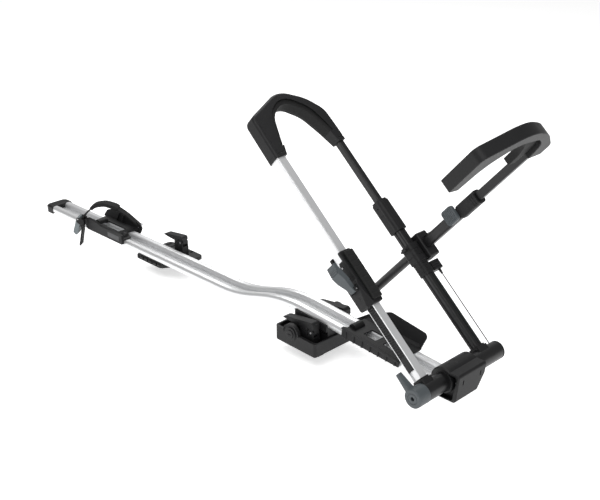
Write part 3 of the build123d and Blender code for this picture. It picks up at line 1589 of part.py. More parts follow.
def clamp_body(share, drop):
    """Fixed column of a clamp, a drop down to its foot, with ears for the pin."""
    _, line = clamp_lines(share)
    half = clamp_width / 2
    line = [(line[0][0], -drop)] + line + [(0, -drop)]
    solid = side_prism(line, (-half, half))
    for sign in (-1, 1):
        limits = sorted((sign * (half - clamp_ear_width), sign * half))
        ear = rod(clamp_pin_setback - 2 * clamp_gap, (-clamp_pin_setback, limits[0], clamp_pin_setback),
                  (-clamp_pin_setback, limits[1], clamp_pin_setback))
        reach = clamp_pin_setback - 2 * clamp_gap
        ear += block((-clamp_pin_setback - reach, -clamp_pin_setback + reach), limits, (-drop, clamp_pin_setback))
        solid += ear
    return solid - clamp_pin(0)


def clamp_pin(gap):
    """Hinge pin of a clamp."""
    half = clamp_width / 2
    return rod(clamp_pin_radius + gap, (-clamp_pin_setback, -half, clamp_pin_setback),
               (-clamp_pin_setback, half, clamp_pin_setback))


def clamp_places():
    """Where the three clamps stand, with the share of the full size each one has."""
    return (
        (Pos(clamp_front_x, -clamp_y, clamp_front_z), 1, clamp_front_z - foot_floor),
        (Pos(clamp_front_x, clamp_y, clamp_front_z), 1, clamp_front_z - foot_floor),
        (Pos(rear_clamp_front_x, rear_clamp_y, rear_clamp_front_z), rear_clamp_share,
         rear_clamp_front_z - rear_foot_top),
    )


def rear_foot_plate(space):
    """Flat foot under the tray, with a raised seat, slots at its near end and a hole."""
    x = (rear_foot_x - rear_foot_length / 2, rear_foot_x + rear_foot_length / 2)
    plan = ((x[0], rear_foot_near_y), (rear_foot_step_x, rear_foot_near_y), (x[1], rear_foot_step_y),
            (x[1], rear_foot_far_y), (x[0], rear_foot_far_y))
    body = plan_prism(plan, (foot_pad_height, rear_foot_top), [rear_foot_corner] * len(plan))
    body = chamfer(body.faces().sort_by(Axis.Z)[-1].edges(), rear_foot_slot_depth / 2)
    seat = block((rear_foot_x - rear_saddle_length / 2, rear_foot_x + rear_saddle_length / 2),
                 (-rear_saddle_half_width, rear_saddle_half_width), (foot_pad_height, tray_bottom_z + overrun))
    pitch = (rear_foot_step_x - x[0] - rear_foot_corner) / rear_foot_slot_count
    for place in range(rear_foot_slot_count):
        start = x[0] + rear_foot_corner + place * pitch
        body -= block((start, start + rear_foot_slot_width),
                      (rear_foot_near_y - overrun, rear_foot_near_y + rear_foot_slot_depth),
                      (foot_pad_height + rear_foot_slot_depth, rear_foot_top + overrun))
        body -= block((start, start + rear_foot_slot_width),
                      (rear_foot_far_y - 3 * rear_foot_slot_length / 2, rear_foot_far_y - rear_foot_slot_length / 2),
                      (rear_foot_top - rear_foot_slot_depth / 2, rear_foot_top + overrun))
    hole_x = rear_foot_x + rear_foot_hole_x
    ends = ((hole_x, rear_foot_hole_y, 0), (hole_x, rear_foot_hole_y, rear_foot_top + overrun))
    body -= rod(rear_foot_hole_radius, *ends)
    trough_half = rear_saddle_half_width + overrun
    trough = block((x[0], x[1]), (-trough_half, trough_half), (tray_bottom_z, tray_bottom_z + overrun))
    return body + (seat - trough) - space


def leaning_plane(base_y, base_z, lean):
    """Plane of a wall that leans outward; its points are (along the tray, up the wall)."""
    turn = math.radians(lean)
    return Plane(origin=(0, base_y, base_z), x_dir=(1, 0, 0), z_dir=(0, -math.cos(turn), math.sin(turn)))


def cradle_floor_plate(x, y, top, windows):
    """Floor of a cradle on the rails, with open windows."""
    plate = block(x, y, (top, top + cradle_floor))
    for window_x, window_y in windows:
        plate -= block(window_x, window_y, (top - overrun, top + cradle_floor + overrun), cradle_floor)
    return plate


def floor_bump(x, radius, half_width, top):
    """Low round bump across a cradle's floor that the tyre rests against."""
    bump = rod(radius, (x, -half_width, top), (x, half_width, top))
    return split(bump, Plane(origin=(0, 0, top), z_dir=(0, 0, 1)))


def front_wheel_cradle():
    """Front cradle fixed to the tray: floor, ribbed near wall and a tall leaning far wing."""
    length = front_cradle_front - front_cradle_rear
    x = (front_cradle_rear, front_cradle_front)
    window_y = (-cradle_window_width / 2, cradle_window_width / 2)
    first = front_cradle_rear + length * 0.26
    second = first + front_window_length + front_window_gap
    windows = (((first, first + front_window_length), window_y), ((second, second + front_window_length), window_y))
    top = rail_top
    outer = cradle_inner_y + cradle_wall
    body = cradle_floor_plate(x, (-outer, outer), top, windows)
    wall_size = (length, front_wall_rise + front_wall_drop)
    wall_shares = ((0.0, 0.0), (1.0, 0.0), (1.0, 0.55), (0.97, 0.62), (0.06, 1.0), (0.0, 0.9))
    wall = shaped(wall_shares, (x[0], -front_wall_drop), wall_size)
    body += side_prism(wall, (-outer, -cradle_inner_y))
    cap_shares = ((0.0, 0.8), (1.0, 0.45), (1.0, 0.55), (0.97, 0.62), (0.06, 1.0), (0.0, 0.9))
    cap = shaped(cap_shares, (x[0], -front_wall_drop), wall_size)
    body += side_prism(cap, (-outer - wall_rib_depth * 1.5, -cradle_inner_y))
    pitch = length / wall_rib_count
    for place in range(wall_rib_count):
        start = x[0] + (place + 1 / 2) * pitch
        rib_top = -front_wall_drop + wall_size[1] * (0.85 - 0.38 * (start - x[0]) / length)
        body += block((start, start + wall_rib_width), (-outer - wall_rib_depth, -outer + 0), (-front_wall_drop, rib_top))
    wing_low = (x[0] - 2 * cradle_skirt, -cradle_skirt)
    wing_size = (length + 2 * cradle_skirt, front_wing_rise + cradle_skirt)
    wing_shares = ((0.0, 0.0), (-0.02, 0.2), (0.16, 0.62), (0.43, 1.0), (0.96, 0.9), (1.0, 0.8), (0.97, 0.3), (0.9, 0.1))
    wing = shaped(wing_shares, wing_low, wing_size)
    radii = (cradle_wall, cradle_wall, front_wing_corner * 2, front_wing_corner * 2, front_wing_corner,
             front_wing_corner, cradle_wall, cradle_wall)
    plane = leaning_plane(front_wing_base_y + cradle_wall, -front_wall_drop, front_wing_lean)
    wing_plate = prism(plane, wing, cradle_wall, radii)
    rear_recess = shaped(((0.09, 0.36), (0.17, 0.36), (0.17, 0.46), (0.09, 0.46)), wing_low, wing_size)
    front_recess = shaped(((0.8, 0.28), (0.88, 0.28), (0.88, 0.4), (0.8, 0.4)), wing_low, wing_size)
    for recess in (rear_recess, front_recess):
        wing_plate -= prism(plane.offset(cradle_wall - wing_recess_depth), recess, cradle_wall)
    body += wing_plate
    body += floor_bump(x[0] + cradle_bump_radius, cradle_bump_radius, cradle_window_width / 2, top + cradle_floor / 2)
    bridge = cross_prism(((cradle_inner_y - cradle_wall, top), (front_wing_base_y + 3 * cradle_wall, top + 2 * cradle_wall),
                          (outer, top - cradle_wall)), (x[0] + cradle_wall, x[1] - 2 * cradle_wall))
    body += bridge
    keep = block((x[0] - 3 * cradle_skirt, x[1] + cradle_skirt), (-tray_half, tray_half), (-rail_height, top))
    return front_frame * (body - keep)


def rear_wall_base():
    """Where the far wall's inner face starts, beside the rails."""
    return tray_half + cradle_rail_gap, tray_low_z


def rear_wheel_cradle():
    """Rear cradle that slides on the tray: floor, low near wall and a leaning far wall."""
    top = tray_low_z + rail_top + cradle_rail_gap
    near_x = (rear_cradle_x - 0.38 * rear_near_length, rear_cradle_x + 0.62 * rear_near_length)
    far_x = (rear_cradle_x - 0.53 * rear_far_length, rear_cradle_x + 0.47 * rear_far_length)
    near_face = -tray_half - cradle_rail_gap
    outer_face = near_face - 2 * cradle_wall
    far_face = tray_half + cradle_rail_gap + cradle_wall
    plan = ((near_x[0] - cradle_wall, outer_face + cradle_wall), (near_x[1], outer_face + cradle_wall),
            (near_x[1], outer_face + 2.4 * cradle_skirt), (near_x[1] - 3 * cradle_skirt, -2 * near_face / 10),
            (far_x[1] - cradle_skirt, far_face), (far_x[0] + cradle_skirt, far_face))
    body = plan_prism(plan, (top, top + cradle_floor))
    window_x = (rear_cradle_x - rear_window_length / 2, rear_cradle_x + rear_window_length / 2)
    window_y = (-rear_window_width / 3, 2 * rear_window_width / 3)
    body -= block(window_x, window_y, (top - overrun, top + cradle_floor + overrun), cradle_floor)
    rise = rear_wall_high - rear_wall_low
    dip = (rear_wall_dip - rear_wall_low) / rise
    wall_shares = ((-0.02, 0.0), (1.0, 0.0), (1.0, dip), (0.9, dip), (0.4, dip), (0.16, 1.0), (-0.02, 1.0),
                   (-0.04, 0.5))
    wall = shaped(wall_shares, (near_x[0], rear_wall_low), (rear_near_length, rise))
    radii = (cradle_wall, 1, 2, 0, 40, 12, 6, 6)
    radii = [cradle_wall * value / 4 for value in radii]
    body += side_prism(wall, (outer_face, near_face), radii)
    label_x = (near_x[1] - label_setback - label_length, near_x[1] - label_setback)
    label_z = (rear_wall_low + (dip * rise - label_height) / 2, rear_wall_low + (dip * rise + label_height) / 2)
    body -= block(label_x, (outer_face, outer_face + label_thickness), label_z)
    wing_start = (far_x[0], 0)
    wing_size = (rear_far_length, rear_wing_rise)
    wing_shares = ((0.0, 0.2), (0.05, 0.63), (0.15, 0.78), (0.36, 1.0), (0.45, 0.99), (0.68, 0.78), (0.93, 0.6),
                   (1.0, 0.45), (0.99, 0.1), (0.94, 0.0), (0.86, 0.0), (0.84, 0.2))
    wing = shaped(wing_shares, wing_start, wing_size)
    radii = (3, 12, 12, 12, 12, 20, 8, 6, 3, 3, 3, 3)
    radii = [cradle_wall * value / 4 for value in radii]
    base_y, base_z = rear_wall_base()
    plane = leaning_plane(base_y + cradle_wall, base_z, rear_wing_lean)
    body += prism(plane, wing, cradle_wall, radii)
    arch_x = rear_cradle_x - arch_width / 2
    foot = (top - base_z) + cradle_floor
    arch_plane = plane.offset(cradle_wall)
    half = arch_width / 2
    ring = prism(arch_plane, ((arch_x - half, foot), (arch_x + half, foot), (arch_x + half * 0.7, foot + arch_height),
                              (arch_x - half * 0.7, foot + arch_height)), arch_depth, (0, 0, half * 0.6, half * 0.6))
    inner = half - arch_thickness
    hole = prism(arch_plane, ((arch_x - inner, foot - overrun), (arch_x + inner, foot - overrun),
                              (arch_x + inner * 0.7, foot + arch_height - arch_thickness),
                              (arch_x - inner * 0.7, foot + arch_height - arch_thickness)),
                 arch_depth, (0, 0, inner * 0.6, inner * 0.6))
    body += ring - hole
    half_width = cradle_window_width / 2
    body += floor_bump(near_x[0] + cradle_bump_radius, cradle_bump_radius, half_width, top + cradle_floor / 2)
    body += split(Pos(near_x[1] - 2 * cradle_bump_radius, -half_width, top + cradle_floor / 2) * Sphere(cradle_bump_radius),
                  Plane(origin=(0, 0, top), z_dir=(0, 0, 1)))
    ledge = cross_prism(((far_face - cradle_wall, top), (far_face + 2 * cradle_wall, top + 2 * cradle_wall),
                         (far_face + cradle_wall / 2, top - cradle_wall)),
                        (far_x[0] + cradle_skirt, far_x[1] - 1.5 * cradle_skirt))
    body += ledge
    lug = block((buckle_back(), buckle_back() + cradle_wall * 3), (-buckle_width / 4, buckle_width / 8),
                (rear_wall_dip - label_height, rear_wall_high - cradle_wall))
    body += strap_frame * lug
    keep = block((far_x[0] - cradle_skirt, near_x[1] + cradle_skirt), (near_face, tray_half + cradle_rail_gap),
                 (tray_low_z - rail_height, top))
    slot = ribbon(strap_line()[:2], strap_thickness + 2 * sliding_clearance, strap_width + 2 * sliding_clearance, [])
    return body - keep - strap_frame * slot - strap_anchor()


def cradle_label():
    """Blank plate let into the rear cradle's near wall."""
    near_end = rear_cradle_x + 0.62 * rear_near_length
    rise = rear_wall_dip - rear_wall_low
    x = (near_end - label_setback - label_length, near_end - label_setback)
    z = (rear_wall_low + (rise - label_height) / 2, rear_wall_low + (rise + label_height) / 2)
    outer_face = -tray_half - cradle_rail_gap - 2 * cradle_wall
    return block(x, (outer_face, outer_face + label_thickness), z)


def strap_line():
    """Centreline of the strap in its own plane, from the far wall to the hanging tail."""
    return shaped(strap_shares, strap_start(), strap_size())


def strap_start():
    """Lower left corner of the strap's arch in its plane."""
    return 0, rear_wall_low + cradle_wall


def strap_size():
    """Width and height of the strap's arch."""
    base_y, base_z = rear_wall_base()
    wall_y = base_y + rear_wing_rise * math.sin(math.radians(rear_wing_lean))
    return (wall_y - strap_y) / math.sin(math.radians(strap_turn)), rear_wing_rise + strap_pad_width


def ribbon(points, thickness, width, radii):
    """A flat band along a line in the strap's plane."""
    line = [(across, 0, up) for across, up in points]
    path = FilletPolyline(*line, radius=radii) if radii else Line(*line)
    start = Vector(*line[0])
    along = Vector(*line[1]) - start
    plane = Plane(origin=start, x_dir=(0, 1, 0), z_dir=along)
    return sweep(plane * Rectangle(width, thickness), path=path)


def wheel_strap():
    """Ribbed rubber strap from the far wall over the wheel and through the buckle to its tail."""
    band = ribbon(strap_line(), strap_thickness, strap_width, strap_radii())
    return strap_frame * (band - anchor_rod(strap_width / 2))


def strap_radii():
    """Bend radii of the strap's line, one for each inner corner."""
    return [strap_thickness * share for share in strap_bend_shares]


def anchor_rod(half):
    """Cross pin near the strap's far end, outside the far wall."""
    line = strap_line()
    place = between(line[0], line[1], anchor_share)
    return rod(anchor_radius, (place[0], -half, place[1]), (place[0], half, place[1]))


def strap_anchor():
    """Cross pin that keeps the strap's far end outside the wall."""
    return strap_frame * anchor_rod(strap_width / 2 + anchor_radius)


def strap_pad():
    """Thick soft pad around the top of the strap."""
    points = strap_line()
    radii = strap_radii()
    line = [between(points[1], points[2], 3 / 4)] + points[2:5] + [between(points[4], points[5], 1 / 3)]
    pad = ribbon(line, strap_pad_thickness, strap_pad_width, radii[1:4])
    rims = pad.faces().sort_by(Axis.Y)
    pad = fillet(rims[0].edges() + rims[-1].edges(), strap_thickness / 4)
    return strap_frame * (pad - ribbon(points, strap_thickness, strap_width, radii))


def between(start, end, share):
    """Point at a share of the way between two points."""
    return start[0] + (end[0] - start[0]) * share, start[1] + (end[1] - start[1]) * share


def buckle_back():
    """Back face of the buckle in the strap's plane."""
    return strap_thickness * 2.5


def buckle_pin_place():
    """Lever's pin in the strap's plane."""
    return -strap_thickness * 2, rear_wall_high - strap_thickness


def strap_buckle():
    """Channel around the strap with two cheeks that hold the lever's pin."""
    pin_u, pin_z = buckle_pin_place()
    half = buckle_width / 2
    low = rear_wall_dip - label_height
    back = block((buckle_back() - buckle_wall, buckle_back()), (-half, half), (low, pin_z))
    body = back
    cheek_shares = ((1.0, 0.0), (1.0, 0.8), (0.6, 1.2), (0.0, 1.2), (0.0, 0.5), (0.5, 0.0))
    cheek = shaped(cheek_shares, (pin_u - buckle_wall * 1.5, low), (buckle_back() - pin_u + buckle_wall * 1.5, pin_z - low))
    radii = [buckle_wall * value / 3 for value in (0, 2, 4, 4, 4, 4)]
    for sign in (-1, 1):
        limits = sorted((sign * (half - buckle_wall), sign * half))
        body += side_prism(cheek, limits, radii)
    body -= rod(buckle_pin_radius, (pin_u, -half, pin_z), (pin_u, half, pin_z))
    return strap_frame * body


def buckle_lever():
    """Grey lever on the buckle, hanging down beside the strap."""
    pin_u, pin_z = buckle_pin_place()
    half = buckle_width / 2 - buckle_wall - sliding_clearance
    shares = ((1.2, -0.05), (1.0, 0.08), (-0.9, 0.08), (-1.6, -0.06), (-4.7, -0.8), (-2.5, -0.98), (-1.1, -0.9),
              (1.2, -0.25))
    points = shaped(shares, (pin_u, pin_z), (strap_thickness, rear_wall_high - foot_floor))
    radii = [buckle_wall * share for share in (0.5, 0.8, 1, 2, 1, 1, 1, 2)]
    lever = side_prism(points, (-half, half), radii)
    lever -= rod(buckle_pin_radius + running_clearance, (pin_u, -half, pin_z), (pin_u, half, pin_z))
    return strap_frame * lever


def buckle_pin():
    """Pin of the buckle's lever."""
    pin_u, pin_z = buckle_pin_place()
    half = buckle_width / 2
    return strap_frame * rod(buckle_pin_radius, (pin_u, -half, pin_z), (pin_u, half, pin_z))


def main():
    """All nodes, each placed in the carrier's frame."""
    space = tray_space()
    write(wheel_tray(), "wheel_tray")
    write(tray_end_cap(), "tray_end_cap")
    write(front_housing(), "front_housing")
    write(housing_lock(), "housing_lock")
    write(pivot_bushes(), "pivot_bushes")
    write(pivot_tube(), "pivot_tube")
    write(pivot_tube_cap(), "pivot_tube_cap")
    write(release_lever(), "release_lever")
    write(release_shaft(), "release_shaft")
    write(cable_drum(), "cable_drum")
    brackets = (leg_bracket(-leg_y, ratchet_width, ratchet_depth), leg_bracket(leg_y, far_tube_width, far_tube_width))
    write(hoop_frame * Compound(children=brackets), "leg_brackets")
    write(hoop_frame * ratchet_bar(), "ratchet_bar")
    write(hoop_frame * tooth_strip(), "tooth_strip")
    write(hoop_frame * silver_sleeve(), "silver_sleeve")
    write(hoop_frame * slider_body(), "slider_body")
    write(hoop_frame * slider_grip(), "slider_grip")
    paddle = slider_paddle()
    write(hoop_frame * paddle, "slider_paddle")
    write(hoop_frame * slider_pawl(paddle), "slider_pawl")
    write(hoop_frame * paddle_pin_rod(0), "paddle_pin")
    write(hoop_frame * slider_rivets(), "slider_rivets")
    write(hoop_frame * hoop_head(), "hoop_head")
    write(hoop_frame * hoop_pad(), "hoop_pad")
    write(hoop_frame * far_lower_tube(), "far_lower_tube")
    write(hoop_frame * far_rod(), "far_rod")
    write(hoop_frame * far_collar(), "far_collar")
    write(hoop_frame * junction_sleeve(), "junction_sleeve")
    write(hoop_frame * arm_pivot_pin(), "arm_pivot_pin")
    write(hoop_frame * cable_boss(), "cable_boss")
    write(hoop_frame * cable_ferrule(), "cable_ferrule")
    write(hoop_frame * release_cable(), "release_cable")
    write(arm_frame * arm_block(), "arm_block")
    write(arm_frame * arm_lower_tube(), "arm_lower_tube")
    write(arm_frame * arm_upper_tube(), "arm_upper_tube")
    write(arm_frame * Compound(children=[arm_plug(), arm_lower_plug()]), "arm_plugs")
    write(arm_frame * arm_collar(), "arm_collar")
    write(arm_frame * arm_button(), "arm_button")
    write(arm_frame * arm_rod(), "arm_rod")
    write(arm_frame * hook_head(), "hook_head")
    write(arm_frame * hook_pad(), "hook_pad")
    write(front_foot_housing(), "front_foot_housing")
    write(foot_knob(), "foot_knob")
    write(foot_pads(), "foot_pads")
    write(foot_saddle(space), "foot_saddle")
    write(rear_foot_plate(space), "rear_foot_plate")
    places = clamp_places()
    bodies = [place * clamp_body(share, drop) for place, share, drop in places]
    write(Compound(children=bodies[:2]), "front_clamp_bodies")
    write(bodies[2], "rear_clamp_body")
    for name, (place, share, _) in zip(("near", "far", "rear"), places):
        write(place * clamp_lever(share), "clamp_lever_" + name)
    write(Compound(children=[place * clamp_pin(0) for place, _, _ in places]), "clamp_pins")
    write(front_wheel_cradle(), "front_wheel_cradle")
    write(rear_wheel_cradle(), "rear_wheel_cradle")
    write(cradle_label(), "cradle_label")
    write(wheel_strap(), "wheel_strap")
    write(strap_pad(), "strap_pad")
    write(strap_anchor(), "strap_anchor")
    write(strap_buckle(), "strap_buckle")
    write(buckle_lever(), "buckle_lever")
    write(buckle_pin(), "buckle_pin")


main()
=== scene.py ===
import bpy
import math
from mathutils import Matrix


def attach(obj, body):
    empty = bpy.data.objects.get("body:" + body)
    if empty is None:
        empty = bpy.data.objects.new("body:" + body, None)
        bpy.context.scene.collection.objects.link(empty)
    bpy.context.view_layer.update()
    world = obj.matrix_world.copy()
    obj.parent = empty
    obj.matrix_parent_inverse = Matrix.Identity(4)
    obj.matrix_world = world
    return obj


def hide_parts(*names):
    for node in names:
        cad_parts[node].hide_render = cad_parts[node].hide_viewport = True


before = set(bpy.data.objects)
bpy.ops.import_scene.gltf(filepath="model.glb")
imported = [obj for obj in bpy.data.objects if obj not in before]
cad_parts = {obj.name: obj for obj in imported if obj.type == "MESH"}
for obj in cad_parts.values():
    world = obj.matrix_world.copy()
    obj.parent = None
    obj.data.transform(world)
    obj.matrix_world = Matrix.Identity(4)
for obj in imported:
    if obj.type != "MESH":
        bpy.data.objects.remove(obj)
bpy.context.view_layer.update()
bpy.ops.object.select_all(action="DESELECT")

# The camera stands in front of the housing on the near side and looks back along the tray,
# a little from above, with a moderate telephoto lens. It was solved from the straight edges.
camera_place = (1.642, -1.7075, 1.292)
camera_turn = (math.radians(66), 0, math.radians(45))
lens_mm = 64.68
sensor_mm = 36
view_depth = 60
bpy.ops.object.camera_add(location=camera_place, rotation=camera_turn)
camera = bpy.context.object
camera.data.lens = lens_mm
camera.data.sensor_width = sensor_mm
camera.data.clip_end = view_depth
bpy.context.scene.camera = camera
bpy.context.scene.view_settings.view_transform = "Standard"

# Studio: a pale floor just under the hanging strap, which glows a little so that it shows near
# white, and a surround that only the camera and clear surfaces see as white.
floor_z = -0.032
floor_size = 30
floor_grey = (0.93, 0.93, 0.93, 1)
floor_roughness = 0.9
floor_specular = 0.1
floor_glow = 0.6
white = (1, 1, 1, 1)
bpy.ops.mesh.primitive_plane_add(size=floor_size, location=(0, 0, floor_z))
floor = bpy.context.object
floor.name = "studio_floor"
floor_material = bpy.data.materials.new("pale floor")
floor_material.use_nodes = True
floor_shader = floor_material.node_tree.nodes["Principled BSDF"]
floor_shader.inputs["Base Color"].default_value = floor_grey
floor_shader.inputs["Roughness"].default_value = floor_roughness
floor_shader.inputs["Specular IOR Level"].default_value = floor_specular
floor_shader.inputs["Emission Color"].default_value = white
floor_shader.inputs["Emission Strength"].default_value = floor_glow
floor.data.materials.append(floor_material)

soft_strength = 0.34
white_strength = 1
world = bpy.data.worlds.new("studio")
bpy.context.scene.world = world
world.use_nodes = True
world_nodes = world.node_tree.nodes
world_links = world.node_tree.links
soft_light = world_nodes["Background"]
soft_light.inputs["Color"].default_value = white
soft_light.inputs["Strength"].default_value = soft_strength
seen_white = world_nodes.new("ShaderNodeBackground")
seen_white.inputs["Color"].default_value = white
seen_white.inputs["Strength"].default_value = white_strength
ray = world_nodes.new("ShaderNodeLightPath")
camera_or_clear = world_nodes.new("ShaderNodeMath")
camera_or_clear.operation = "MAXIMUM"
world_links.new(ray.outputs["Is Camera Ray"], camera_or_clear.inputs[0])
world_links.new(ray.outputs["Is Transmission Ray"], camera_or_clear.inputs[1])
choice = world_nodes.new("ShaderNodeMixShader")
world_links.new(camera_or_clear.outputs[0], choice.inputs["Fac"])
world_links.new(soft_light.outputs[0], choice.inputs[1])
world_links.new(seen_white.outputs[0], choice.inputs[2])
world_links.new(choice.outputs[0], world_nodes["World Output"].inputs["Surface"])

# Panels: three rectangular softboxes, the key over the near side, one behind the far side and a
# weak one in front of the pivot tube. Each has its place and sizes in metres and its turn in degrees.
for name, place, turn, size, watts in (
    ("key_panel", (0.6, -1.6, 3.2), (28, 6, 0), (3.2, 2.2), 66),
    ("rear_panel", (-1.8, 1.6, 2.6), (-38, -28, 0), (2.6, 1.6), 44),
    ("front_panel", (3.0, -0.4, 1.1), (72, 0, 82), (1.4, 2.4), 15),
):
    panel_turn = [math.radians(value) for value in turn]
    bpy.ops.object.light_add(type="AREA", location=place, rotation=panel_turn)
    panel = bpy.context.object
    panel.name = name
    panel.data.shape = "RECTANGLE"
    panel.data.size, panel.data.size_y = size
    panel.data.energy = watts


# Aluminium: the tray's extrusion, the ratchet bar and the outer tube of the near leg are
# satin anodised, with faint drawing lines along their length and a soft, silky gloss.
bevel_samples = 6
edge_gain = 4.0


class Signal:
    """An output of a node, which takes part in sums as a number does."""

    def __init__(self, finish, socket):
        self.finish = finish
        self.socket = socket

    def sum(self, operation, first, second):
        return self.finish.node("ShaderNodeMath", {"operation": operation}, {0: first, 1: second})

    def __add__(self, other):
        return self.sum("ADD", self, other)

    def __radd__(self, other):
        return self.sum("ADD", other, self)

    def __sub__(self, other):
        return self.sum("SUBTRACT", self, other)

    def __rsub__(self, other):
        return self.sum("SUBTRACT", other, self)

    def __mul__(self, other):
        return self.sum("MULTIPLY", self, other)

    def __rmul__(self, other):
        return self.sum("MULTIPLY", other, self)


class Finish:
    """A surface finish: a Principled shader and the nodes that vary it. Lengths are in metres."""

    def __init__(self, name, colour, roughness, **constants):
        self.material = bpy.data.materials.new(name)
        self.material.use_nodes = True
        self.tree = self.material.node_tree
        self.shader = self.tree.nodes["Principled BSDF"]
        self.shader.inputs["Base Color"].default_value = (*colour, 1)
        self.shader.inputs["Roughness"].default_value = roughness
        for socket, value in constants.items():
            self.shader.inputs[socket.replace("_", " ")].default_value = value

    def node(self, kind, settings, inputs, output=0):
        """Adds a node with its settings and its sockets' values or links."""
        made = self.tree.nodes.new(kind)
        for key, value in settings.items():
            setattr(made, key, value)
        for key, value in inputs.items():
            if isinstance(value, Signal):
                self.tree.links.new(value.socket, made.inputs[key])
            else:
                made.inputs[key].default_value = value
        return Signal(self, made.outputs[output])

    def place(self, turn=(0, 0, 0), stretch=(1, 1, 1)):
        """Object coordinates, turned and stretched."""
        here = self.node("ShaderNodeTexCoord", {}, {}, "Object")
        turned = self.node("ShaderNodeMapping", {}, {"Vector": here, "Rotation": turn})
        return self.node("ShaderNodeMapping", {}, {"Vector": turned, "Scale": stretch})

    def noise(self, scale, detail=2, turn=(0, 0, 0), stretch=(1, 1, 1)):
        """Noise from 0 to 1, with the scale as the number of grains in a metre."""
        inputs = {"Vector": self.place(turn, stretch), "Scale": scale, "Detail": detail}
        return self.node("ShaderNodeTexNoise", {}, inputs)

    def rounded(self, radius):
        """Normal as if every edge had this radius."""
        return self.node("ShaderNodeBevel", {"samples": bevel_samples}, {"Radius": radius})

    def edges(self, radius):
        """Mask that is above zero along outer and inner edges."""
        rounded = self.rounded(radius)
        flat = self.node("ShaderNodeNewGeometry", {}, {}, "Normal")
        dot = {"operation": "DOT_PRODUCT"}
        likeness = self.node("ShaderNodeVectorMath", dot, {0: rounded, 1: flat}, "Value")
        clamped = {"operation": "MULTIPLY", "use_clamp": True}
        return self.node("ShaderNodeMath", clamped, {0: 1 - likeness, 1: edge_gain})

    def tint(self, factor, low, high):
        """Base colour that goes from one colour to another."""
        inputs = {"Factor": factor, 6: (*low, 1), 7: (*high, 1)}
        mixed = self.node("ShaderNodeMix", {"data_type": "RGBA"}, inputs, 2)
        self.tree.links.new(mixed.socket, self.shader.inputs["Base Color"])

    def rough(self, value):
        """Links a varying roughness."""
        self.tree.links.new(value.socket, self.shader.inputs["Roughness"])

    def relief(self, height, distance, radius):
        """Bump on top of edges that are rounded by a small radius."""
        inputs = {
            "Height": height, "Distance": distance, "Strength": 1.0, "Normal": self.rounded(radius),
        }
        bump = self.node("ShaderNodeBump", {}, inputs)
        self.tree.links.new(bump.socket, self.shader.inputs["Normal"])

    def paint(self, *names):
        """Gives CAD nodes this finish."""
        for name in names:
            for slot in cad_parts[name].material_slots:
                slot.material = self.material


tray_turn = (0, 0, 0)
hoop_turn = (0, math.radians(41.6), 0)
along_bar = (0.012, 1, 1)
anodised_colour = (0.8, 0.805, 0.81)
anodised_dull = (0.74, 0.745, 0.755)
anodised_bright = (0.86, 0.865, 0.87)
line_depth = 0.00002
bar_edge = 0.0005
for name, turn in (("wheel_tray", tray_turn), ("ratchet_bar", hoop_turn), ("silver_sleeve", hoop_turn)):
    anodised = Finish("anodised " + name, anodised_colour, 0.34, Metallic=0.72)
    streaks = anodised.noise(900, 3, turn, along_bar)
    cloud = anodised.noise(9, 3, turn)
    grain = anodised.noise(2600, 1)
    anodised.tint(streaks * 0.6 + cloud * 0.4, anodised_dull, anodised_bright)
    anodised.rough(0.26 + 0.12 * streaks + 0.06 * cloud)
    anodised.relief(streaks * 0.7 + grain * 0.3, line_depth, bar_edge)
    anodised.paint(name)

# Black mouldings: glass filled nylon with a fine spark grain, a touch lighter and smoother
# along the edges that hands and boots rub. The release cable and its ferrule are black as well.
moulded_colour = (0.008, 0.008, 0.009)
moulded_deep = (0.005, 0.005, 0.0055)
moulded_rubbed = (0.03, 0.03, 0.032)
moulded_rub_width = 0.0012
moulded_edge = 0.0008
spark_depth = 0.00006
moulded = Finish("black moulding", moulded_colour, 0.5, Specular_IOR_Level=0.32)
grain = moulded.noise(1500)
cloud = moulded.noise(14, 3)
rub = moulded.edges(moulded_rub_width)
moulded.tint(rub * 0.6 + cloud * 0.2, moulded_deep, moulded_rubbed)
moulded.rough(0.42 + 0.14 * grain + 0.08 * cloud - 0.1 * rub)
moulded.relief(grain, spark_depth, moulded_edge)
moulded.paint(
    "tray_end_cap", "front_housing", "pivot_bushes", "pivot_tube_cap", "cable_drum", "leg_brackets",
    "slider_body", "slider_pawl", "hoop_head", "far_collar", "junction_sleeve", "cable_boss", "arm_block",
    "arm_plugs", "arm_collar", "hook_head", "front_foot_housing", "foot_knob", "foot_saddle",
    "rear_foot_plate", "front_clamp_bodies", "rear_clamp_body", "clamp_lever_near", "clamp_lever_far",
    "clamp_lever_rear", "front_wheel_cradle", "rear_wheel_cradle", "strap_buckle", "tooth_strip",
    "release_cable", "cable_ferrule",
)

# Black tubes: the pivot tube and the tubes and rods of the far leg and the second arm are steel
# with a satin powder coat that shows a faint orange peel. Each rod slides in its tube.
coated_colour = (0.008, 0.008, 0.009)
coated_deep = (0.005, 0.005, 0.0055)
coated_rubbed = (0.026, 0.026, 0.028)
coated_rub_width = 0.001
coated_edge = 0.0008
peel_depth = 0.00005
coated = Finish(
    "black powder coat", coated_colour, 0.34,
    Coat_Weight=0.15, Coat_Roughness=0.25, Specular_IOR_Level=0.35,
)
peel = coated.noise(420)
cloud = coated.noise(12)
rub = coated.edges(coated_rub_width)
coated.tint(rub * 0.5 + cloud * 0.15, coated_deep, coated_rubbed)
coated.rough(0.28 + 0.1 * peel + 0.06 * cloud)
coated.relief(peel, peel_depth, coated_edge)
coated.paint("pivot_tube", "far_lower_tube", "far_rod", "arm_lower_tube", "arm_upper_tube", "arm_rod")

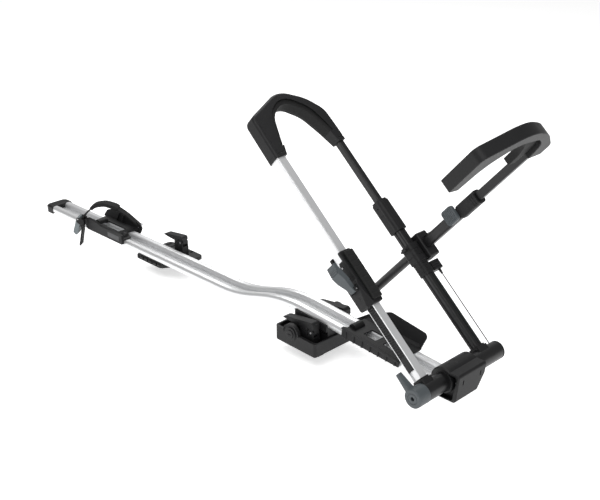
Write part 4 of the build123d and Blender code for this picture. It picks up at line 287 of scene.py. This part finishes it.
# Grey controls: the paddle, the release lever and the button are moulded in slate grey
# polyamide with a fine grain, and the buckle's lever in a paler grey.
slate_rub_width = 0.001
slate_edge = 0.0008
slate_depth = 0.00005
for names, low, high in (
    (("release_lever", "slider_paddle", "arm_button"), (0.058, 0.068, 0.074), (0.11, 0.125, 0.135)),
    (("buckle_lever",), (0.15, 0.175, 0.185), (0.24, 0.27, 0.28)),
):
    slate = Finish("grey control " + names[0], low, 0.48)
    grain = slate.noise(1400)
    cloud = slate.noise(18)
    rub = slate.edges(slate_rub_width)
    slate.tint(rub * 0.7 + cloud * 0.2, low, high)
    slate.rough(0.42 + 0.12 * grain + 0.06 * cloud)
    slate.relief(grain, slate_depth, slate_edge)
    slate.paint(*names)

# Rubber: the linings of the hoop's head and of the hook and the strap's pad are closed foam with
# a moulded skin, and a little fuller than their channels. The strap, the grip and the foot pads
# are solid. All are dull, slightly dusty and rounded along every edge.
rubber_colour = (0.008, 0.008, 0.008)
rubber_deep = (0.006, 0.006, 0.006)
rubber_rubbed = (0.026, 0.026, 0.026)
rubber_rub_width = 0.0014
rubber_edge = 0.0008
rubber_depth = 0.00008
skin_voxel = 0.0012
ease_factor = 0.5
ease_rounds = 4
solid_swell = 0.0002
lining_swell = 0.0006
strap_pad_swell = 0.0005
rubber = Finish("black rubber", rubber_colour, 0.72, Specular_IOR_Level=0.3)
grain = rubber.noise(1100)
cloud = rubber.noise(20, 3)
rub = rubber.edges(rubber_rub_width)
rubber.tint(rub * 0.4 + cloud * 0.25, rubber_deep, rubber_rubbed)
rubber.rough(0.62 + 0.14 * grain + 0.08 * cloud)
rubber.relief(grain, rubber_depth, rubber_edge)
rubber.paint("slider_grip", "hoop_pad", "hook_pad", "foot_pads", "wheel_strap", "strap_pad")
for name, body, swell, is_foam in (
    ("hoop_pad", "head", lining_swell, True),
    ("hook_pad", "hook", lining_swell, True),
    ("strap_pad", "rear_cradle", strap_pad_swell, True),
    ("wheel_strap", "rear_cradle", solid_swell, False),
    ("slider_grip", "head", solid_swell, False),
    ("foot_pads", "base", solid_swell, False),
):
    bpy.ops.object.select_all(action="DESELECT")
    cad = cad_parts[name]
    soft = bpy.data.objects.new("soft_" + name, cad.data.copy())
    bpy.context.scene.collection.objects.link(soft)
    soft.matrix_world = cad.matrix_world
    bpy.context.view_layer.objects.active = soft
    soft.select_set(True)
    soft.data.materials.clear()
    soft.data.materials.append(rubber.material)
    remesh = soft.modifiers.new("skin", "REMESH")
    remesh.mode = "VOXEL"
    remesh.voxel_size = skin_voxel
    ease = soft.modifiers.new("ease", "SMOOTH")
    ease.factor = ease_factor
    ease.iterations = ease_rounds
    fuller = soft.modifiers.new("fuller", "DISPLACE")
    fuller.mid_level = 0
    fuller.strength = swell
    for modifier in ("skin", "ease", "fuller"):
        bpy.ops.object.modifier_apply(modifier=modifier)
    bpy.ops.object.shade_smooth()
    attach(soft, body)
    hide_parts(name)

# Steel: the pins, rivets, shaft and lock barrel are turned from bright bar, with faint lines
# from the tool, and pressed or riveted into the pieces that they join.
steel_colour = (0.55, 0.55, 0.56)
steel_dull = (0.45, 0.45, 0.46)
steel_bright = (0.62, 0.62, 0.63)
turning_stretch = (1, 0.08, 1)
turning_depth = 0.00002
steel_edge = 0.0003
steel = Finish("turned steel", steel_colour, 0.3, Metallic=1.0)
turning = steel.noise(1600, stretch=turning_stretch)
steel.tint(turning, steel_dull, steel_bright)
steel.rough(0.24 + 0.16 * turning)
steel.relief(turning, turning_depth, steel_edge)
steel.paint(
    "release_shaft", "paddle_pin", "slider_rivets", "arm_pivot_pin",
    "clamp_pins", "housing_lock", "strap_anchor", "buckle_pin",
)

# Plate: a bare moulded plate is set into the window in the rear cradle's near wall, smoother
# and a little greyer than the moulding round it.
plate_colour = (0.035, 0.036, 0.038)
plate_dark = (0.028, 0.029, 0.031)
plate_light = (0.045, 0.046, 0.048)
plate_depth = 0.00003
plate_edge = 0.0004
plate = Finish("blank plate", plate_colour, 0.35)
grain = plate.noise(1800, 1)
plate.tint(grain, plate_dark, plate_light)
plate.rough(0.3 + 0.12 * grain)
plate.relief(grain, plate_depth, plate_edge)
plate.paint("cradle_label")
